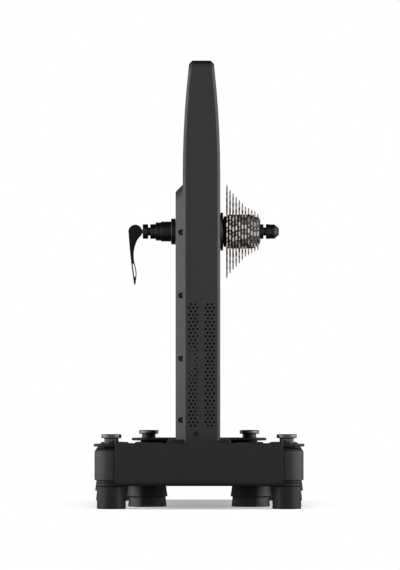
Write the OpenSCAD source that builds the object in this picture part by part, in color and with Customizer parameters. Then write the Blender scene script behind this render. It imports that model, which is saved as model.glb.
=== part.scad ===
// Direct drive bike trainer, stored with its four legs folded along the base.
// X runs across the bike towards the sprockets, Y towards the bike's front wheel and Z up.
// Z = 0 is the floor, and the axle crosses over the middle of the base.

/* [Tower] */
// Height of the tower's top above the floor
tower_h = 532; // [515:1:560]
// Length of the tower from its rear face to its front face
tower_d = 300; // [296:1:310]
// Width of the two shells together
tower_w = 44.6; // [43.6:0.2:47]
// Sideways place of the seam between the two shells
seam_x = 2.9; // [2:0.1:4]
// Thickness of the shell walls
wall = 2.6; // [2:0.1:3]
// Height where the sides start to lean in
taper_z = 397; // [385:1:410]
// Width of the tower across its top
top_w = 28.6; // [26:0.2:32]
// Width of the bevel round the shells' edge
bevel_w = 3.3; // [2:0.1:4]
// Depth of the same bevel
bevel_d = 4; // [3:0.1:5]
// Corner radius at the tower's rear top
rear_corner_r = 11; // [8:1:16]
// Corner radius at the tower's front top
front_corner_r = 90; // [70:5:110]
// Thickness of the cap along the top
cap_t = 4; // [3.5:0.1:5]
// Length of the hand slot
slot_l = 124; // [110:1:135]
// Height of the hand slot
slot_h = 34; // [30:1:38]
// Height of the bar above the hand slot
slot_bar = 28; // [24:1:32]
// Width of the groove along the seam
seam_w = 1.4; // [0.8:0.1:2]
// Depth of the same groove
seam_d = 0.35; // [0.3:0.05:0.8]

/* [Flywheel cover] */
// How far the cover stands out from the left shell
cover_t = 8.5; // [8:0.1:10]
// Height of the cover's top edge where it meets the shell
cover_top = 385; // [372:1:390]
// Corner radius at the top of the cover
cover_r = 24; // [16:1:32]
// Heights of the clip windows in the cover's rear rim
clip_z = [328, 253, 178, 105];
// Depth of a clip window across the rim
clip_w = 5; // [4:0.1:6]
// Height of a clip window at its inner side
clip_h = 7.7; // [6:0.1:9]

/* [Vents] */
// Number of vent rows in each shell
vent_rows = 35; // [25:1:37]
// Distance between the rows
vent_row = 4.24; // [4:0.02:4.4]
// Sideways distance between the columns
vent_col = 2.42; // [2.3:0.02:2.6]
// Width of one vent hole
vent_d = 2.9; // [2:0.1:3.1]
// Height of the top row
vent_top = 242.7; // [235:1:260]
// Distance from the seam to the middle of each group
vent_x = 9.85; // [9.2:0.05:10.2]

/* [Base] */
// Half the distance between the rear and front hinge lines
hinge_y = 150; // [146:1:156]
// Distance from the middle to a rear leg's hinge
rear_hinge_x = 104; // [104:0.5:108]
// Distance from the middle to a front leg's hinge
front_hinge_x = 62; // [61:0.5:62]
// Width of the base's spine
spine_w = 76; // [70:1:76]
// Thickness of the upper hinge plates
plate_t = 3; // [2.5:0.1:4]
// Thickness of the lower hinge plates
low_plate_t = 4; // [3:0.1:5]
// End radius of the upper hinge plates
plate_r = 21; // [20:0.5:21.5]
// End radius of the lower hinge plates
low_plate_r = 17.8; // [16:0.1:18.5]
// Thickness of the end panels
panel_t = 4; // [3:0.1:5]
// Height of the end panels
panel_h = 51; // [48:0.5:54]
// How far the rear panel stands above the deck
panel_rise = 1.5; // [0.5:0.1:2]
// Half width of the rear panel
rear_panel_x = 99.5; // [94:0.5:100]

/* [Legs] */
// Width of a leg
leg_w = 40; // [36:0.5:40]
// Height of a leg
leg_h = 38; // [34:0.5:42]
// Height of a leg's underside above the floor
leg_z = 34; // [32:0.5:38]
// Chamfer along a leg's top edges
leg_chamfer = 3.8; // [2:0.1:5]
// Wall thickness of the hollow legs
leg_wall = 3.5; // [2.5:0.1:5]
// Height of the boss between a leg and the upper plate
boss_h = 2; // [1:0.1:3]
// Distance from a rear leg's hinge to its foot
rear_leg_l = 298; // [290:1:305]
// Distance from a front leg's hinge to its foot
front_leg_l = 219; // [205:1:222]
// Radius of the hinge bolts
bolt_r = 6; // [5:0.1:7]

/* [Feet and knobs] */
// Largest radius of a leg's foot
foot_r = 24.3; // [22:0.1:24.3]
// Height of the step in a leg's foot
foot_step = 12; // [8:0.5:16]
// Radius of a foot under a hinge
hinge_foot_r = 17.1; // [15:0.1:17.4]
// Height of a foot under a hinge
hinge_foot_h = 27; // [25.5:0.1:27.9]
// Radius of a knob's cap
knob_r = 12; // [10:0.1:15]
// Thickness of a knob's cap
knob_cap = 4.5; // [3:0.1:6]
// Radius of a knob's neck
knob_neck_r = 8.5; // [8.2:0.1:9.5]
// Height of a rear knob's neck
knob_neck = 6.7; // [5.8:0.1:9]
// How much shorter the neck of a front knob is
knob_drop = 1.8; // [0:0.1:2.4]

/* [Axle] */
// Height of the axle above the floor
axle_h = 330; // [322:1:340]
// Distance between the faces that the bike's dropouts rest on
dropout_w = 136.8; // [135:0.2:140]
// Radius of the stubs that the dropouts sit on
stub_r = 5; // [4.4:0.1:5.5]
// Lengths of the left and the right stub
stub_l = [2.4, 2.9];
// Radii of the left end cap's steps, from the tower outwards
step_r = [12.1, 11, 8.9];
// Lengths of the same steps
step_l = [12.1, 6.4, 6.6];
// Radius of the locknut
locknut_r = 15.7; // [14:0.1:18]
// Thickness of the locknut
locknut_t = 5.4; // [4:0.1:7]
// Radius of the ring round the axle on the right
ring_r = 23; // [22:0.1:28]
// Thickness of that ring
ring_t = 3.3; // [2.5:0.1:3.6]

/* [Sprockets] */
// Teeth of each sprocket, from the tower outwards
teeth = [28, 25, 23, 21, 19, 17, 15, 14, 13, 12, 11];
// Distance from one sprocket to the next
sprocket_gap = 3.74; // [3.6:0.01:3.8]
// Thickness of a sprocket
sprocket_t = 1.8; // [1.6:0.05:2.1]
// Radius of the splined barrel that carries them
barrel_r = 17.2; // [16.8:0.1:17.3]
// Largest radius of the spacers between them
spacer_r = 20.6; // [19:0.1:21]
// Height of a tooth above the pitch circle
tooth_h = 0.8; // [0.6:0.1:2.8]
// Thickness of the lockring's flange
lockring_t = 2; // [1.5:0.1:2.4]

/* [Drive and brake] */
// Height of the flywheel's shaft above the floor
fly_z = 170; // [168:1:176]
// Radius of the flywheel
fly_r = 85; // [75:1:86]
// Width of the flywheel's rim
fly_w = 19; // [18.5:0.1:19.4]
// Thickness of the frame plate that carries both shafts
frame_t = 8; // [7.6:0.1:8.6]
// Radius of the pulley on the axle
big_pulley_r = 72; // [64:1:76]
// Radius of the pulley on the flywheel's shaft
small_pulley_r = 12; // [10:0.5:14]
// Width of both pulleys
pulley_w = 12; // [10:0.2:13]
// Thickness of the belt
belt_t = 4; // [3:0.1:5]
// Number of poles in the brake
poles = 12; // [10:1:14]

/* [Quick release] */
// Radius of the skewer rod
rod_r = 2.4; // [2:0.1:2.6]
// Radius of the lever's round head
head_r = 8.35; // [8:0.05:8.4]
// Radius of the cup beside the lever
cup_r = 8.9; // [7.5:0.05:10]
// Thickness of that cup
cup_t = 6.6; // [5:0.1:7]
// Length of the lever below the middle of its head
lever_l = 64.4; // [58:0.1:75]
// Width of the lever's arm along Y
lever_w = 11; // [10:0.5:12.5]
// Radius of the nut on the other end
nut_r = 9; // [7.5:0.1:10]
// Radius of the nut's outer end
nut_tip_r = 4.2; // [3.8:0.1:6]
// Length of that nut
nut_l = 15.8; // [13:0.1:18]

/* [Hidden] */
$fn = 64;

// Clearance of a running fit, and the gap where two pieces only meet
run_gap = 0.1;
seat_gap = 0.02;
// Gap that keeps a moving leg off the pieces beside it
leg_gap = 2;

// Tower, worked out from the sizes above
half_d = tower_d / 2;
half_w = tower_w / 2;
left_out = seam_x - half_w;
right_out = seam_x + half_w;
cover_out = left_out - cover_t;
top_z = tower_h - cap_t;
seam_gap = 0.04;
slot_r = slot_h / 2;
slot_z = tower_h - slot_bar - slot_r;
slot_y = slot_l / 2 - slot_r;
cover_slope = bevel_d / bevel_w;
cover_run = cover_t * cover_slope;

// Base levels, from the floor up
leg_top = leg_z + leg_h;
deck_z = leg_top + boss_h;
plate_top = deck_z + plate_t;
low_plate_z = leg_z - low_plate_t;
cross_d = 22;
end_y = hinge_y + cross_d;
panel_z = plate_top + panel_rise - panel_h;
front_panel_x = front_hinge_x - 4.5;
spine_wall = 4;
spine_top_wall = 6;
skirt_h = 5;
skirt_l = 28;
skirt_chamfer = [3.6, 4.6];
boss_r = 10;
bolt_head_r = 10;
bolt_head_h = 5;
foot_neck_r = 18;

// Places across the tower, from the cover inwards
fly_x = cover_out + wall + 0.8;
fly_web = 4;
fly_rim = 19;
frame_x = fly_x + fly_w + 1.5;
frame_x1 = frame_x + frame_t;
belt_x = frame_x1 + 3;
foot_plate_x = 16.5;
foot_plate_t = 8;
foot_plate_y = 125;
frame_foot_y = 105;
frame_waist = [62, 250];
frame_head_r = 38;
frame_bolt_r = 3;
frame_bolt_y = 95;
fly_bearing = [6, 14, 8];
boss_out_r = fly_bearing[1] + 3.1;
core_t = 12;
core_x = frame_x - 2 - core_t;
pole_gap = 1.5;
pole_r = fly_r - fly_rim - pole_gap;

// Places along the axle
locknut_neck = 12;
locknut_x = cover_out - 0.6;
cap_x = locknut_x - locknut_t;
left_face = cap_x - step_l[0] - step_l[1] - step_l[2];
right_face = left_face + dropout_w;
ring_neck = ring_r - 3;
hub_r = 15;
hub_big_r = 22;
ring_x = right_out + 0.6;
hub_end = ring_x + ring_t + 1.2;
barrel_x = hub_end + 0.2;
barrel_base = 2.1;
chain_pitch = 12.7;
roller_r = 3.9;
tooth_tip = 1.6;
first_sprocket = barrel_x + barrel_base + 0.2;
cassette_end = first_sprocket + sprocket_gap * (len(teeth) - 1) + sprocket_t;
axle_end = cassette_end + 1.2;
axle_r = 10;
journal_r = 8.5;
tip_r = 6;
rod_hole_r = rod_r + 0.3;
drive_bearing = [journal_r, 17.5, 7];
hub_bearing = [tip_r, 10.5, 5];
mouth_r = 13;
mouth_depth = 4.8;
journal_x = frame_x1 + 1.2;
journal_end = journal_x + 2 * drive_bearing[2] + 0.6;
spigot_r = 6;
spigot_l = 12;
tip_spigot_r = 4;
tip_spigot_l = 10;
cup_x = left_face - stub_l[0] - run_gap;
head_x = cup_x - cup_t - 0.65 - head_r;
nut_x = right_face + stub_l[1] + run_gap;
cone_l = 5.5;
eye_r = 4.6;
eye_w = 5;
// Edges of the lever's arm: depth below the head's middle, then the left and the right edge
arm = [
    [2, -8, 0], [5.6, -7.88, 5.9], [8.4, -7.69, 3.66], [10.8, -7.51, 2.1], [13.2, -7.33, 1],
    [15.6, -7.13, 0.15], [18, -6.93, -0.62], [20.5, -6.71, -1.2], [23, -6.47, -1.6],
    [26, -6.18, -1.9], [29, -5.88, -2.02], [32, -5.56, -1.9], [35, -5.23, -1.6],
    [37.5, -4.95, -1.12], [40, -4.65, -0.45], [42.5, -4.35, 0.25], [45, -4.03, 0.85],
    [48, -3.64, 1.35], [51, -3.24, 1.55], [54, -2.82, 1.35], [57, -2.39, 0.95],
    [60, -1.95, 0.55], [62.5, -1.57, 0.35], [63.8, -1.3, 0.1], [64.4, -0.9, -0.35]
];
// Width of the arm's left and right strands beside its slot, and the rows that the slot runs between
arm_strand = [1.5, 1.2];
arm_slot = [14, 19];

// Tongue of a clip, across, along and up
tongue = [3.2, 7, 4];

// Vents, jack and board behind the rear face
vent_depth = 6;
jack_x = seam_x - 6.6;
jack_z = 88.8;
jack_r = 2.85;
jack_out_r = 3.9;
lens_x = seam_x + 8.1;
lens_z = 88;
board_t = 1.6;
board_y = -foot_plate_y - 18;
board_z = deck_z + foot_plate_t;
screw_r = 1.8;
screw_head_r = 3.5;
screw_sink = 3;
screw_l = 10;
post_r = 5;
screw_yz = [
    [-half_d + 18, 100], [half_d - 18, 100], [-half_d + 18, 300],
    [half_d - 18, 300], [-half_d + 30, 450], [half_d - 40, 450]
];

// Points of an arc, from one angle to another
function arc(c, r, a0, a1, n) = [
    for (i = [0:n]) let (a = a0 + (a1 - a0) * i / n) c + r * [cos(a), sin(a)]
];

// Radius of the arc that takes each side from the taper's start to the top
function lean_r() = let (h = tower_h - taper_z, d = half_w - top_w / 2) (h * h + d * d) / (2 * d);

// Half the tower's width at a height
function lean(z) = z < taper_z ? 0 : lean_r() - sqrt(lean_r() * lean_r() - (z - taper_z) * (z - taper_z));
function half_at(z) = half_w - lean(z);

// Side outline of the tower, as Y and Z, drawn in by a distance
function tower_side(i, z0) = let (
        f = half_d - front_corner_r,
        g = tower_h - front_corner_r,
        r = half_d - rear_corner_r,
        s = tower_h - rear_corner_r
    ) concat(
        [[-half_d + i, z0], [half_d - i, z0], [half_d - i, taper_z], [half_d - i, (taper_z + g) / 2]],
        arc([f, g], front_corner_r - i, 0, 90, 12),
        arc([-r, s], rear_corner_r - i, 90, 180, 5),
        [for (k = [4:-1:0]) [-half_d + i, taper_z + (s - taper_z) * k / 5]]
    );

// The same outline at both sides of the tower, each point at its own width
function tower_ring(i, side, z0, x_in) = [
    for (p = tower_side(i, z0)) [seam_x + side * (half_at(p[1]) - x_in), p[0], p[1]]
];

// Solid through rings of points that bulge outwards all the way round
module ring_hull(points) {
    n = len(points);
    hull() polyhedron(points, [for (i = [0:n - 3]) [0, i + 1, i + 2]]);
}

module tower_solid() {
    ring_hull(concat(
        tower_ring(0, -1, plate_top, bevel_w), tower_ring(bevel_d, -1, plate_top, 0),
        tower_ring(bevel_d, 1, plate_top, 0), tower_ring(0, 1, plate_top, bevel_w)
    ));
}

module tower_hollow() {
    intersection() {
        ring_hull(concat(
            tower_ring(wall, -1, plate_top - 1, wall), tower_ring(wall, 1, plate_top - 1, wall)
        ));
        translate([left_out - 1, -half_d, 0]) cube([tower_w + 2, tower_d, top_z - wall]);
    }
}

// Extrudes a Y and Z outline along X
module along_x(x0, x1) {
    translate([x0, 0, 0]) rotate([90, 0, 90]) linear_extrude(x1 - x0) children();
}

// Extrudes an X and Z outline along Y
module along_y(y0, y1) {
    translate([0, y1, 0]) rotate([90, 0, 0]) linear_extrude(y1 - y0) children();
}

// Cylinder along X
module xcyl(r, x0, x1) {
    translate([x0, 0, 0]) rotate([0, 90, 0]) cylinder(r = r, h = x1 - x0);
}

// Turned piece round the X axis, its points given as radius and place along X
module xturn(points) {
    rotate([0, 90, 0]) rotate_extrude($fn = 96) polygon(points);
}

module at_axle() {
    translate([0, 0, axle_h]) children();
}

module at_flywheel() {
    translate([0, 0, fly_z]) children();
}

module slot_shape(grow) {
    translate([-slot_y, slot_z]) circle(slot_r + grow);
    translate([slot_y, slot_z]) circle(slot_r + grow);
    translate([-slot_y, slot_z - slot_r - grow]) square([2 * slot_y, 2 * (slot_r + grow)]);
}

// Honeycomb of holes, as an X and Z pattern round one middle line
module vent_pattern(x) {
    for (row = [0:vent_rows - 1]) {
        n = row % 2 == 0 ? 2 : 3;
        for (k = [0:n - 1])
            translate([x + (2 * k - n + 1) * vent_col, vent_top - row * vent_row])
                circle(d = vent_d, $fn = 6);
    }
}

// Chamfer along the seam, front and rear
module seam_groove() {
    past = 0.1;
    half = seam_w / 2 * (1 + past / seam_d);
    for (end = [-1, 1])
        translate([seam_x, end * half_d, plate_top - 1]) linear_extrude(tower_h - rear_corner_r - plate_top)
            polygon([[-half, end * past], [half, end * past], [0, -end * seam_d]]);
}

module screw_posts(x0, x1) {
    for (p = screw_yz)
        translate([0, p[0], p[1]]) xcyl(post_r, x0, x1);
}

module shell_blank(x0, x1) {
    difference() {
        intersection() {
            tower_solid();
            translate([x0, -half_d, plate_top]) cube([x1 - x0, tower_d, top_z - plate_top]);
        }
        difference() {
            tower_hollow();
            along_x(x0 - 1, x1 + 1) slot_shape(wall);
            intersection() {
                screw_posts(x0, x1);
                tower_solid();
            }
        }
        along_x(x0 - 1, x1 + 1) slot_shape(0);
        seam_groove();
    }
}

// Tongues that catch in the cover's clip windows
module latch_tongues() {
    for (z = clip_z)
        translate([left_out - tongue[0], -half_d + bevel_d + tongue[1], z - tongue[2] / 2])
            cube([tongue[0] + wall / 2, tongue[1], tongue[2]]);
}

// Left shell: half of the tower's casing, open beside the flywheel
module left_shell() {
    color("#39393a") difference() {
        union() {
            shell_blank(left_out, seam_x - seam_gap / 2);
            latch_tongues();
        }
        along_y(-half_d - 1, -half_d + vent_depth) vent_pattern(seam_x - vent_x);
        at_flywheel() xcyl(fly_r + 4, left_out - 1, frame_x);
        at_axle() xcyl(locknut_neck + 0.3, left_out - 1, seam_x);
        translate([jack_x, -half_d + vent_depth, jack_z]) rotate([90, 0, 0])
            cylinder(r = jack_out_r + 0.2, h = 10);
        for (p = screw_yz)
            translate([0, p[0], p[1]]) {
                xcyl(screw_r + 0.1, left_out - 1, seam_x);
                xcyl(screw_head_r + 0.2, left_out - 1, seam_x - half_at(p[1]) + screw_sink);
            }
    }
}

// Right shell: the other half, with the axle's opening
module right_shell() {
    color("#39393a") difference() {
        shell_blank(seam_x + seam_gap / 2, right_out);
        along_y(-half_d - 1, -half_d + vent_depth) vent_pattern(seam_x + vent_x);
        at_axle() xcyl(ring_neck + 0.3, seam_x, right_out + 1);
        translate([lens_x, -half_d + vent_depth, lens_z])
            rotate([90, 0, 0]) cylinder(r = 0.8, h = 10, $fn = 12);
        for (p = screw_yz)
            translate([0, p[0], p[1]]) xcyl(screw_r + 0.05, seam_x - 1, seam_x + screw_l + 1);
    }
}

module top_cap() {
    color("#141414") intersection() {
        tower_solid();
        translate([left_out, -half_d, top_z]) cube([tower_w, tower_d, cap_t + 1]);
    }
}

// Cover's side outline, as Y and Z, drawn in by a distance
function cover_side(i, top, r) = concat(
    [[-half_d + i, plate_top], [half_d - i, plate_top]],
    arc([half_d - i - r, top - r], r, 0, 90, 6),
    arc([-half_d + i + r, top - r], r, 90, 180, 6)
);

module cover_solid(inset, out) {
    points = concat(
        [for (p = cover_side(bevel_d + inset, cover_top - inset, cover_r)) [left_out, p[0], p[1]]],
        [for (p = cover_side(bevel_d + cover_run + inset, cover_top - cover_t - inset, cover_r - 4))
            [out, p[0], p[1]]]
    );
    ring_hull(points);
}

// Cover over the flywheel, clipped to the left shell
module flywheel_cover() {
    color("#3b3b3c") difference() {
        cover_solid(0, cover_out);
        translate([0, 0, -1]) cover_solid(wall, cover_out + wall);
        for (z = clip_z)
            along_y(-half_d, -half_d + bevel_d + cover_run + 1)
                translate([left_out + 0.01, z])
                    polygon([[0, -clip_h / 2], [0, clip_h / 2],
                        [-clip_w, clip_h / 2 - 1.5], [-clip_w, -clip_h / 2 + 1.5]]);
        at_axle() xcyl(locknut_neck + 0.3, cover_out - 1, left_out + 1);
    }
}

module shell_screws() {
    color("#8a8a8c") for (p = screw_yz)
        translate([seam_x, p[0], p[1]]) {
            xcyl(screw_r, -half_at(p[1]) + screw_sink - 0.1, screw_l);
            difference() {
                xcyl(screw_head_r, -half_at(p[1]) + 0.5, -half_at(p[1]) + screw_sink);
                translate([-half_at(p[1]), 0, 0]) rotate([0, 90, 0]) cylinder(r = screw_r, h = 2, $fn = 6);
            }
        }
}

// Plate inside the tower that carries the axle, the flywheel and the brake
module frame_plate() {
    color("#a9abae") difference() {
        union() {
            along_x(frame_x, frame_x1) {
                polygon([
                    [-frame_foot_y, board_z - 1], [frame_foot_y, board_z - 1], frame_waist,
                    [frame_head_r - 2, axle_h], [2 - frame_head_r, axle_h], [-frame_waist[0], frame_waist[1]]
                ]);
                translate([0, axle_h]) circle(frame_head_r);
            }
            translate([seam_x - foot_plate_x, -foot_plate_y, deck_z])
                cube([2 * foot_plate_x, 2 * foot_plate_y, foot_plate_t]);
            at_axle() xcyl(20, frame_x - 8, frame_x1);
            at_flywheel() xcyl(boss_out_r, frame_x - 12, frame_x1 + 2);
            at_flywheel() xcyl(boss_out_r + 8, frame_x - 2, frame_x1);
        }
        at_axle() xcyl(axle_r + seat_gap, frame_x - 9, frame_x1 + 1);
        at_flywheel() xcyl(fly_bearing[1] + seat_gap, frame_x - 13, frame_x1 + 3);
        frame_bolt_places() cylinder(r = frame_bolt_r + 0.05, h = 40, center = true);
    }
}

module frame_bolt_places() {
    for (side = [-1, 1], end = [-1, 1])
        translate([seam_x + side * (foot_plate_x - 5), end * frame_bolt_y, deck_z]) children();
}

module frame_bolts() {
    color("#6f7072") frame_bolt_places() {
        translate([0, 0, -foot_plate_t]) cylinder(r = frame_bolt_r, h = 2 * foot_plate_t);
        translate([0, 0, foot_plate_t]) cylinder(r = 1.5 * frame_bolt_r, h = 2.6, $fn = 6);
    }
}

// Extruded spine with two cells, and the blocks that the hinges are built on
module base_frame() {
    color("#2a2a2b") difference() {
        union() {
            translate([-spine_w / 2, -end_y, leg_z]) cube([spine_w, 2 * end_y, deck_z - leg_z]);
            cross_block(rear_hinge_x - leg_w / 2 - leg_gap, -1);
            cross_block(front_hinge_x - leg_w / 2 - leg_gap, 1);
        }
        for (s = [-1, 1])
            translate([s * (spine_w / 4 - spine_wall / 4) - cell_w() / 2, -end_y - 1, leg_z + spine_wall])
                cube([cell_w(), 2 * end_y + 2, deck_z - leg_z - spine_wall - spine_top_wall]);
        for (s = [-1, 1])
            cross_pocket(s);
        frame_bolt_places() cylinder(r = frame_bolt_r + 0.05, h = 30, center = true);
    }
}

function cell_w() = spine_w / 2 - 1.5 * spine_wall;

module cross_block(x, s) {
    y0 = s < 0 ? -end_y : hinge_y - plate_r;
    translate([-x, y0, leg_z]) cube([2 * x, cross_d + plate_r, deck_z - leg_z]);
}

module cross_pocket(s) {
    x0 = spine_w / 2 + spine_wall;
    x1 = rear_hinge_x - leg_w / 2 - leg_gap - spine_wall;
    translate([s * (x0 + x1) / 2, -end_y + (cross_d + plate_r) / 2, leg_z - 1])
        linear_extrude(deck_z - leg_z - spine_wall + 1)
            square([x1 - x0, cross_d + plate_r - 2 * spine_wall], center = true);
}

// Plan of the tower and its cover, with a gap at both sides
function tower_plan(gap) = [
    [left_out + bevel_w - gap, -half_d], [cover_out - gap, -half_d + bevel_d + cover_run],
    [cover_out - gap, half_d], [right_out + gap, half_d], [right_out + gap, -half_d + bevel_d],
    [right_out - bevel_w + gap, -half_d]
];

// Slab under the tower, with a collar round its rear and the frame plate's foot let into it
module pedestal() {
    half = spine_w / 2;
    top = plate_top + skirt_h;
    color("#4a4a4b") difference() {
        union() {
            translate([-half, -half_d + 2, deck_z]) cube([spine_w, tower_d - 4, plate_t]);
            along_y(-half_d + 2, skirt_l + 2 - half_d) for (s = [-1, 1])
                polygon([
                    [s * half, plate_top - 0.5], [s * half, top - skirt_chamfer[1]],
                    [s * (half - skirt_chamfer[0]), top], [s * (spine_w / 4), top],
                    [s * (spine_w / 4), plate_top - 0.5]
                ]);
        }
        translate([0, 0, plate_top]) linear_extrude(skirt_h + 1) polygon(tower_plan(0.3));
        for (s = [-1, 1])
            translate([0, s * (hinge_y - plate_r - 0.2 + spine_w), plate_top - spine_w])
                cube(2 * spine_w, center = true);
        translate([seam_x - foot_plate_x - 0.1, -foot_plate_y - 0.1, deck_z - 1])
            cube([2 * foot_plate_x + 0.2, 2 * foot_plate_y + 0.2, top - deck_z + 2]);
    }
}

// Section of an end panel, as distance outwards and height, rounded along its bottom
function panel_section() = concat(
    [[0, panel_z + panel_h], [0, panel_z + 6], [-2, panel_z + 6], [-2, panel_z]],
    arc([panel_t - 5, panel_z + 5], 5, 270, 360, 5),
    [[panel_t, panel_z + panel_h - 2.3], [panel_t - 2.3, panel_z + panel_h]]
);

module end_panel(x, drop) {
    translate([-x, 0, -drop]) rotate([90, 0, 90]) linear_extrude(2 * x)
        translate([end_y, 0]) polygon(panel_section());
}

module rear_panel() {
    color("#262627") mirror([0, 1, 0]) end_panel(rear_panel_x, 0);
}

module front_panel() {
    color("#262627") end_panel(front_panel_x, panel_rise);
}

// Bar with round ends about a pair of hinges
module hinge_plate(x, y, z, t, r) {
    translate([0, y, z]) difference() {
        union() {
            translate([-x, -r, 0]) cube([2 * x, 2 * r, t]);
            translate([-x, 0, 0]) cylinder(r = r, h = t);
            translate([x, 0, 0]) cylinder(r = r, h = t);
        }
        for (s = [-1, 1])
            translate([s * x, 0, -1]) cylinder(r = bolt_r + seat_gap, h = t + 2);
    }
}

module rear_top_plate() {
    color("#1c1c1d") hinge_plate(rear_hinge_x, -hinge_y, deck_z, plate_t, plate_r);
}

module rear_bottom_plate() {
    color("#1c1c1d") hinge_plate(rear_hinge_x, -hinge_y, low_plate_z, low_plate_t, low_plate_r);
}

module front_top_plate() {
    color("#1c1c1d") hinge_plate(front_hinge_x, hinge_y, deck_z, plate_t, plate_r);
}

module front_bottom_plate() {
    color("#1c1c1d") hinge_plate(front_hinge_x, hinge_y, low_plate_z, low_plate_t, low_plate_r);
}

// Half of a leg's section, as distance from its middle and height
function leg_half() = [
    [0, leg_z + seat_gap], [leg_w / 2, leg_z + seat_gap], [leg_w / 2, leg_top - leg_chamfer],
    [leg_w / 2 - leg_chamfer, leg_top], [0, leg_top]
];

// Leg with round ends, hollow from below, with its hinge at the origin and its foot at y = l
module leg(l) {
    h = leg_half();
    bays = round(l / 60);
    rib = 3;
    bay_0 = leg_w / 2 + 4;
    bay_l = (l - 2 * bay_0 - (bays - 1) * rib) / bays;
    difference() {
        union() {
            along_y(0, l) polygon(concat(
                [for (p = h) p], [for (i = [3:-1:1]) [-h[i][0], h[i][1]]]
            ));
            rotate([0, 0, 180]) rotate_extrude(angle = 180) polygon(h);
            translate([0, l, 0]) rotate_extrude(angle = 180) polygon(h);
            translate([0, 0, leg_top - 1]) cylinder(r = boss_r, h = 1 + boss_h - seat_gap);
        }
        translate([0, 0, leg_z - 1]) cylinder(r = bolt_r + run_gap, h = leg_h + boss_h + 2);
        for (i = [0:bays - 1])
            translate([-leg_w / 2 + leg_wall, bay_0 + i * (bay_l + rib), leg_z - 1])
                cube([leg_w - 2 * leg_wall, bay_l, leg_h - leg_wall + 1]);
    }
}

module at_hinge(side, end) {
    translate([side * (end < 0 ? rear_hinge_x : front_hinge_x), end * hinge_y, 0]) children();
}

module placed_leg(side, end) {
    color("#303031") at_hinge(side, end)
        mirror([0, end > 0 ? 1 : 0, 0]) leg(end < 0 ? rear_leg_l : front_leg_l);
}

// Rubber foot in two cones, with a neck up to the leg
module leg_foot(side, end) {
    l = end < 0 ? rear_leg_l : front_leg_l;
    tier = low_plate_z - 4;
    color("#1d1d1e") at_hinge(side, end) translate([0, -end * l, 0])
        rotate_extrude($fn = 72) polygon([
            [0, 0], [foot_r - 1.1, 0], [foot_r - 2.5, foot_step], [foot_r, foot_step],
            [foot_r - 2, tier], [foot_neck_r, tier + 2], [foot_neck_r, leg_z], [0, leg_z]
        ]);
}

// Rubber foot under a hinge, hollowed for the head of the bolt
module hinge_foot(side, end) {
    color("#222223") at_hinge(side, end) rotate_extrude() polygon([
        [0, 0], [hinge_foot_r, 0], [hinge_foot_r, hinge_foot_h], [hinge_foot_r + 1.4, hinge_foot_h],
        [hinge_foot_r + 1.4, low_plate_z], [bolt_head_r + 0.3, low_plate_z],
        [bolt_head_r + 0.3, low_plate_z - bolt_head_h - 0.3], [0, low_plate_z - bolt_head_h - 0.3]
    ]);
}

// Height of a knob's neck at one end of the base
function neck_h(end) = end < 0 ? knob_neck : knob_neck - knob_drop;

module hinge_bolts() {
    color("#77787a") for (side = [-1, 1], end = [-1, 1])
        at_hinge(side, end) {
            translate([0, 0, low_plate_z - bolt_head_h]) cylinder(r = bolt_head_r, h = bolt_head_h);
            translate([0, 0, low_plate_z - 1])
                cylinder(r = bolt_r, h = plate_top + neck_h(end) - low_plate_z + 1);
        }
}

module knob(side, end) {
    z = plate_top + run_gap;
    neck = neck_h(end);
    edge = 0.5;
    color("#2d2d2e") at_hinge(side, end) translate([0, 0, z]) rotate_extrude() polygon([
        [bolt_r + run_gap, 0], [knob_neck_r, 0], [knob_neck_r, neck], [knob_r - edge, neck],
        [knob_r, neck + edge], [knob_r, neck + knob_cap - edge],
        [knob_r - edge, neck + knob_cap], [0, neck + knob_cap],
        [0, neck + edge], [bolt_r + run_gap, neck + edge]
    ]);
}

// Board under the vents, with the lamp that the lens stands on
module circuit_board() {
    color("#2f5a3a") translate([seam_x, board_y, board_z]) {
        translate([-foot_plate_x, 0, 0]) cube([2 * foot_plate_x, 34, board_t]);
        translate([lens_x - seam_x - 2, 4, board_t - 0.1]) cube([4, 4, lens_z + 2 - board_z - board_t]);
        translate([-2, 14, board_t - 0.1]) cube([13, 13, 4]);
    }
}

// Barrel socket for the power plug, with its centre pin
module power_jack() {
    face = -half_d + 0.2;
    color("#1a1a1b") translate([jack_x, 0, 0]) difference() {
        union() {
            translate([-4.5, board_y + 0.3 - 3, board_z + board_t]) cube([9, 13, 10]);
            translate([0, face, jack_z]) rotate([-90, 0, 0]) cylinder(r = jack_out_r, h = 8);
        }
        translate([0, face, jack_z]) rotate([-90, 0, 0]) difference() {
            translate([0, 0, -1]) cylinder(r = jack_r, h = 11);
            cylinder(r = 1, h = 12);
        }
    }
}

module status_lens() {
    color("#c9c9cb") translate([lens_x, -half_d + 0.3, lens_z])
        rotate([-90, 0, 0]) cylinder(r = 0.7, h = board_y + 4 + half_d - 0.3);
}

// Flywheel: a thin web with a heavy rim round the brake
module flywheel() {
    color("#8f9194") at_flywheel() translate([fly_x, 0, 0]) xturn([
        [tip_r, 0], [fly_r, 0], [fly_r, fly_w], [fly_r - fly_rim, fly_w], [fly_r - fly_rim, fly_web],
        [12, fly_web], [12, fly_web + 2], [tip_r, fly_web + 2]
    ]);
}

module flywheel_shaft() {
    color("#b5b7ba") at_flywheel() xcyl(tip_r - 0.05, fly_x + 0.2, belt_x + pulley_w);
}

module flywheel_pulley() {
    color("#9b9da0") at_flywheel() translate([belt_x, 0, 0]) xturn([
        [tip_r, 0], [small_pulley_r, 0], [small_pulley_r, pulley_w], [tip_r, pulley_w]
    ]);
}

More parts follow.
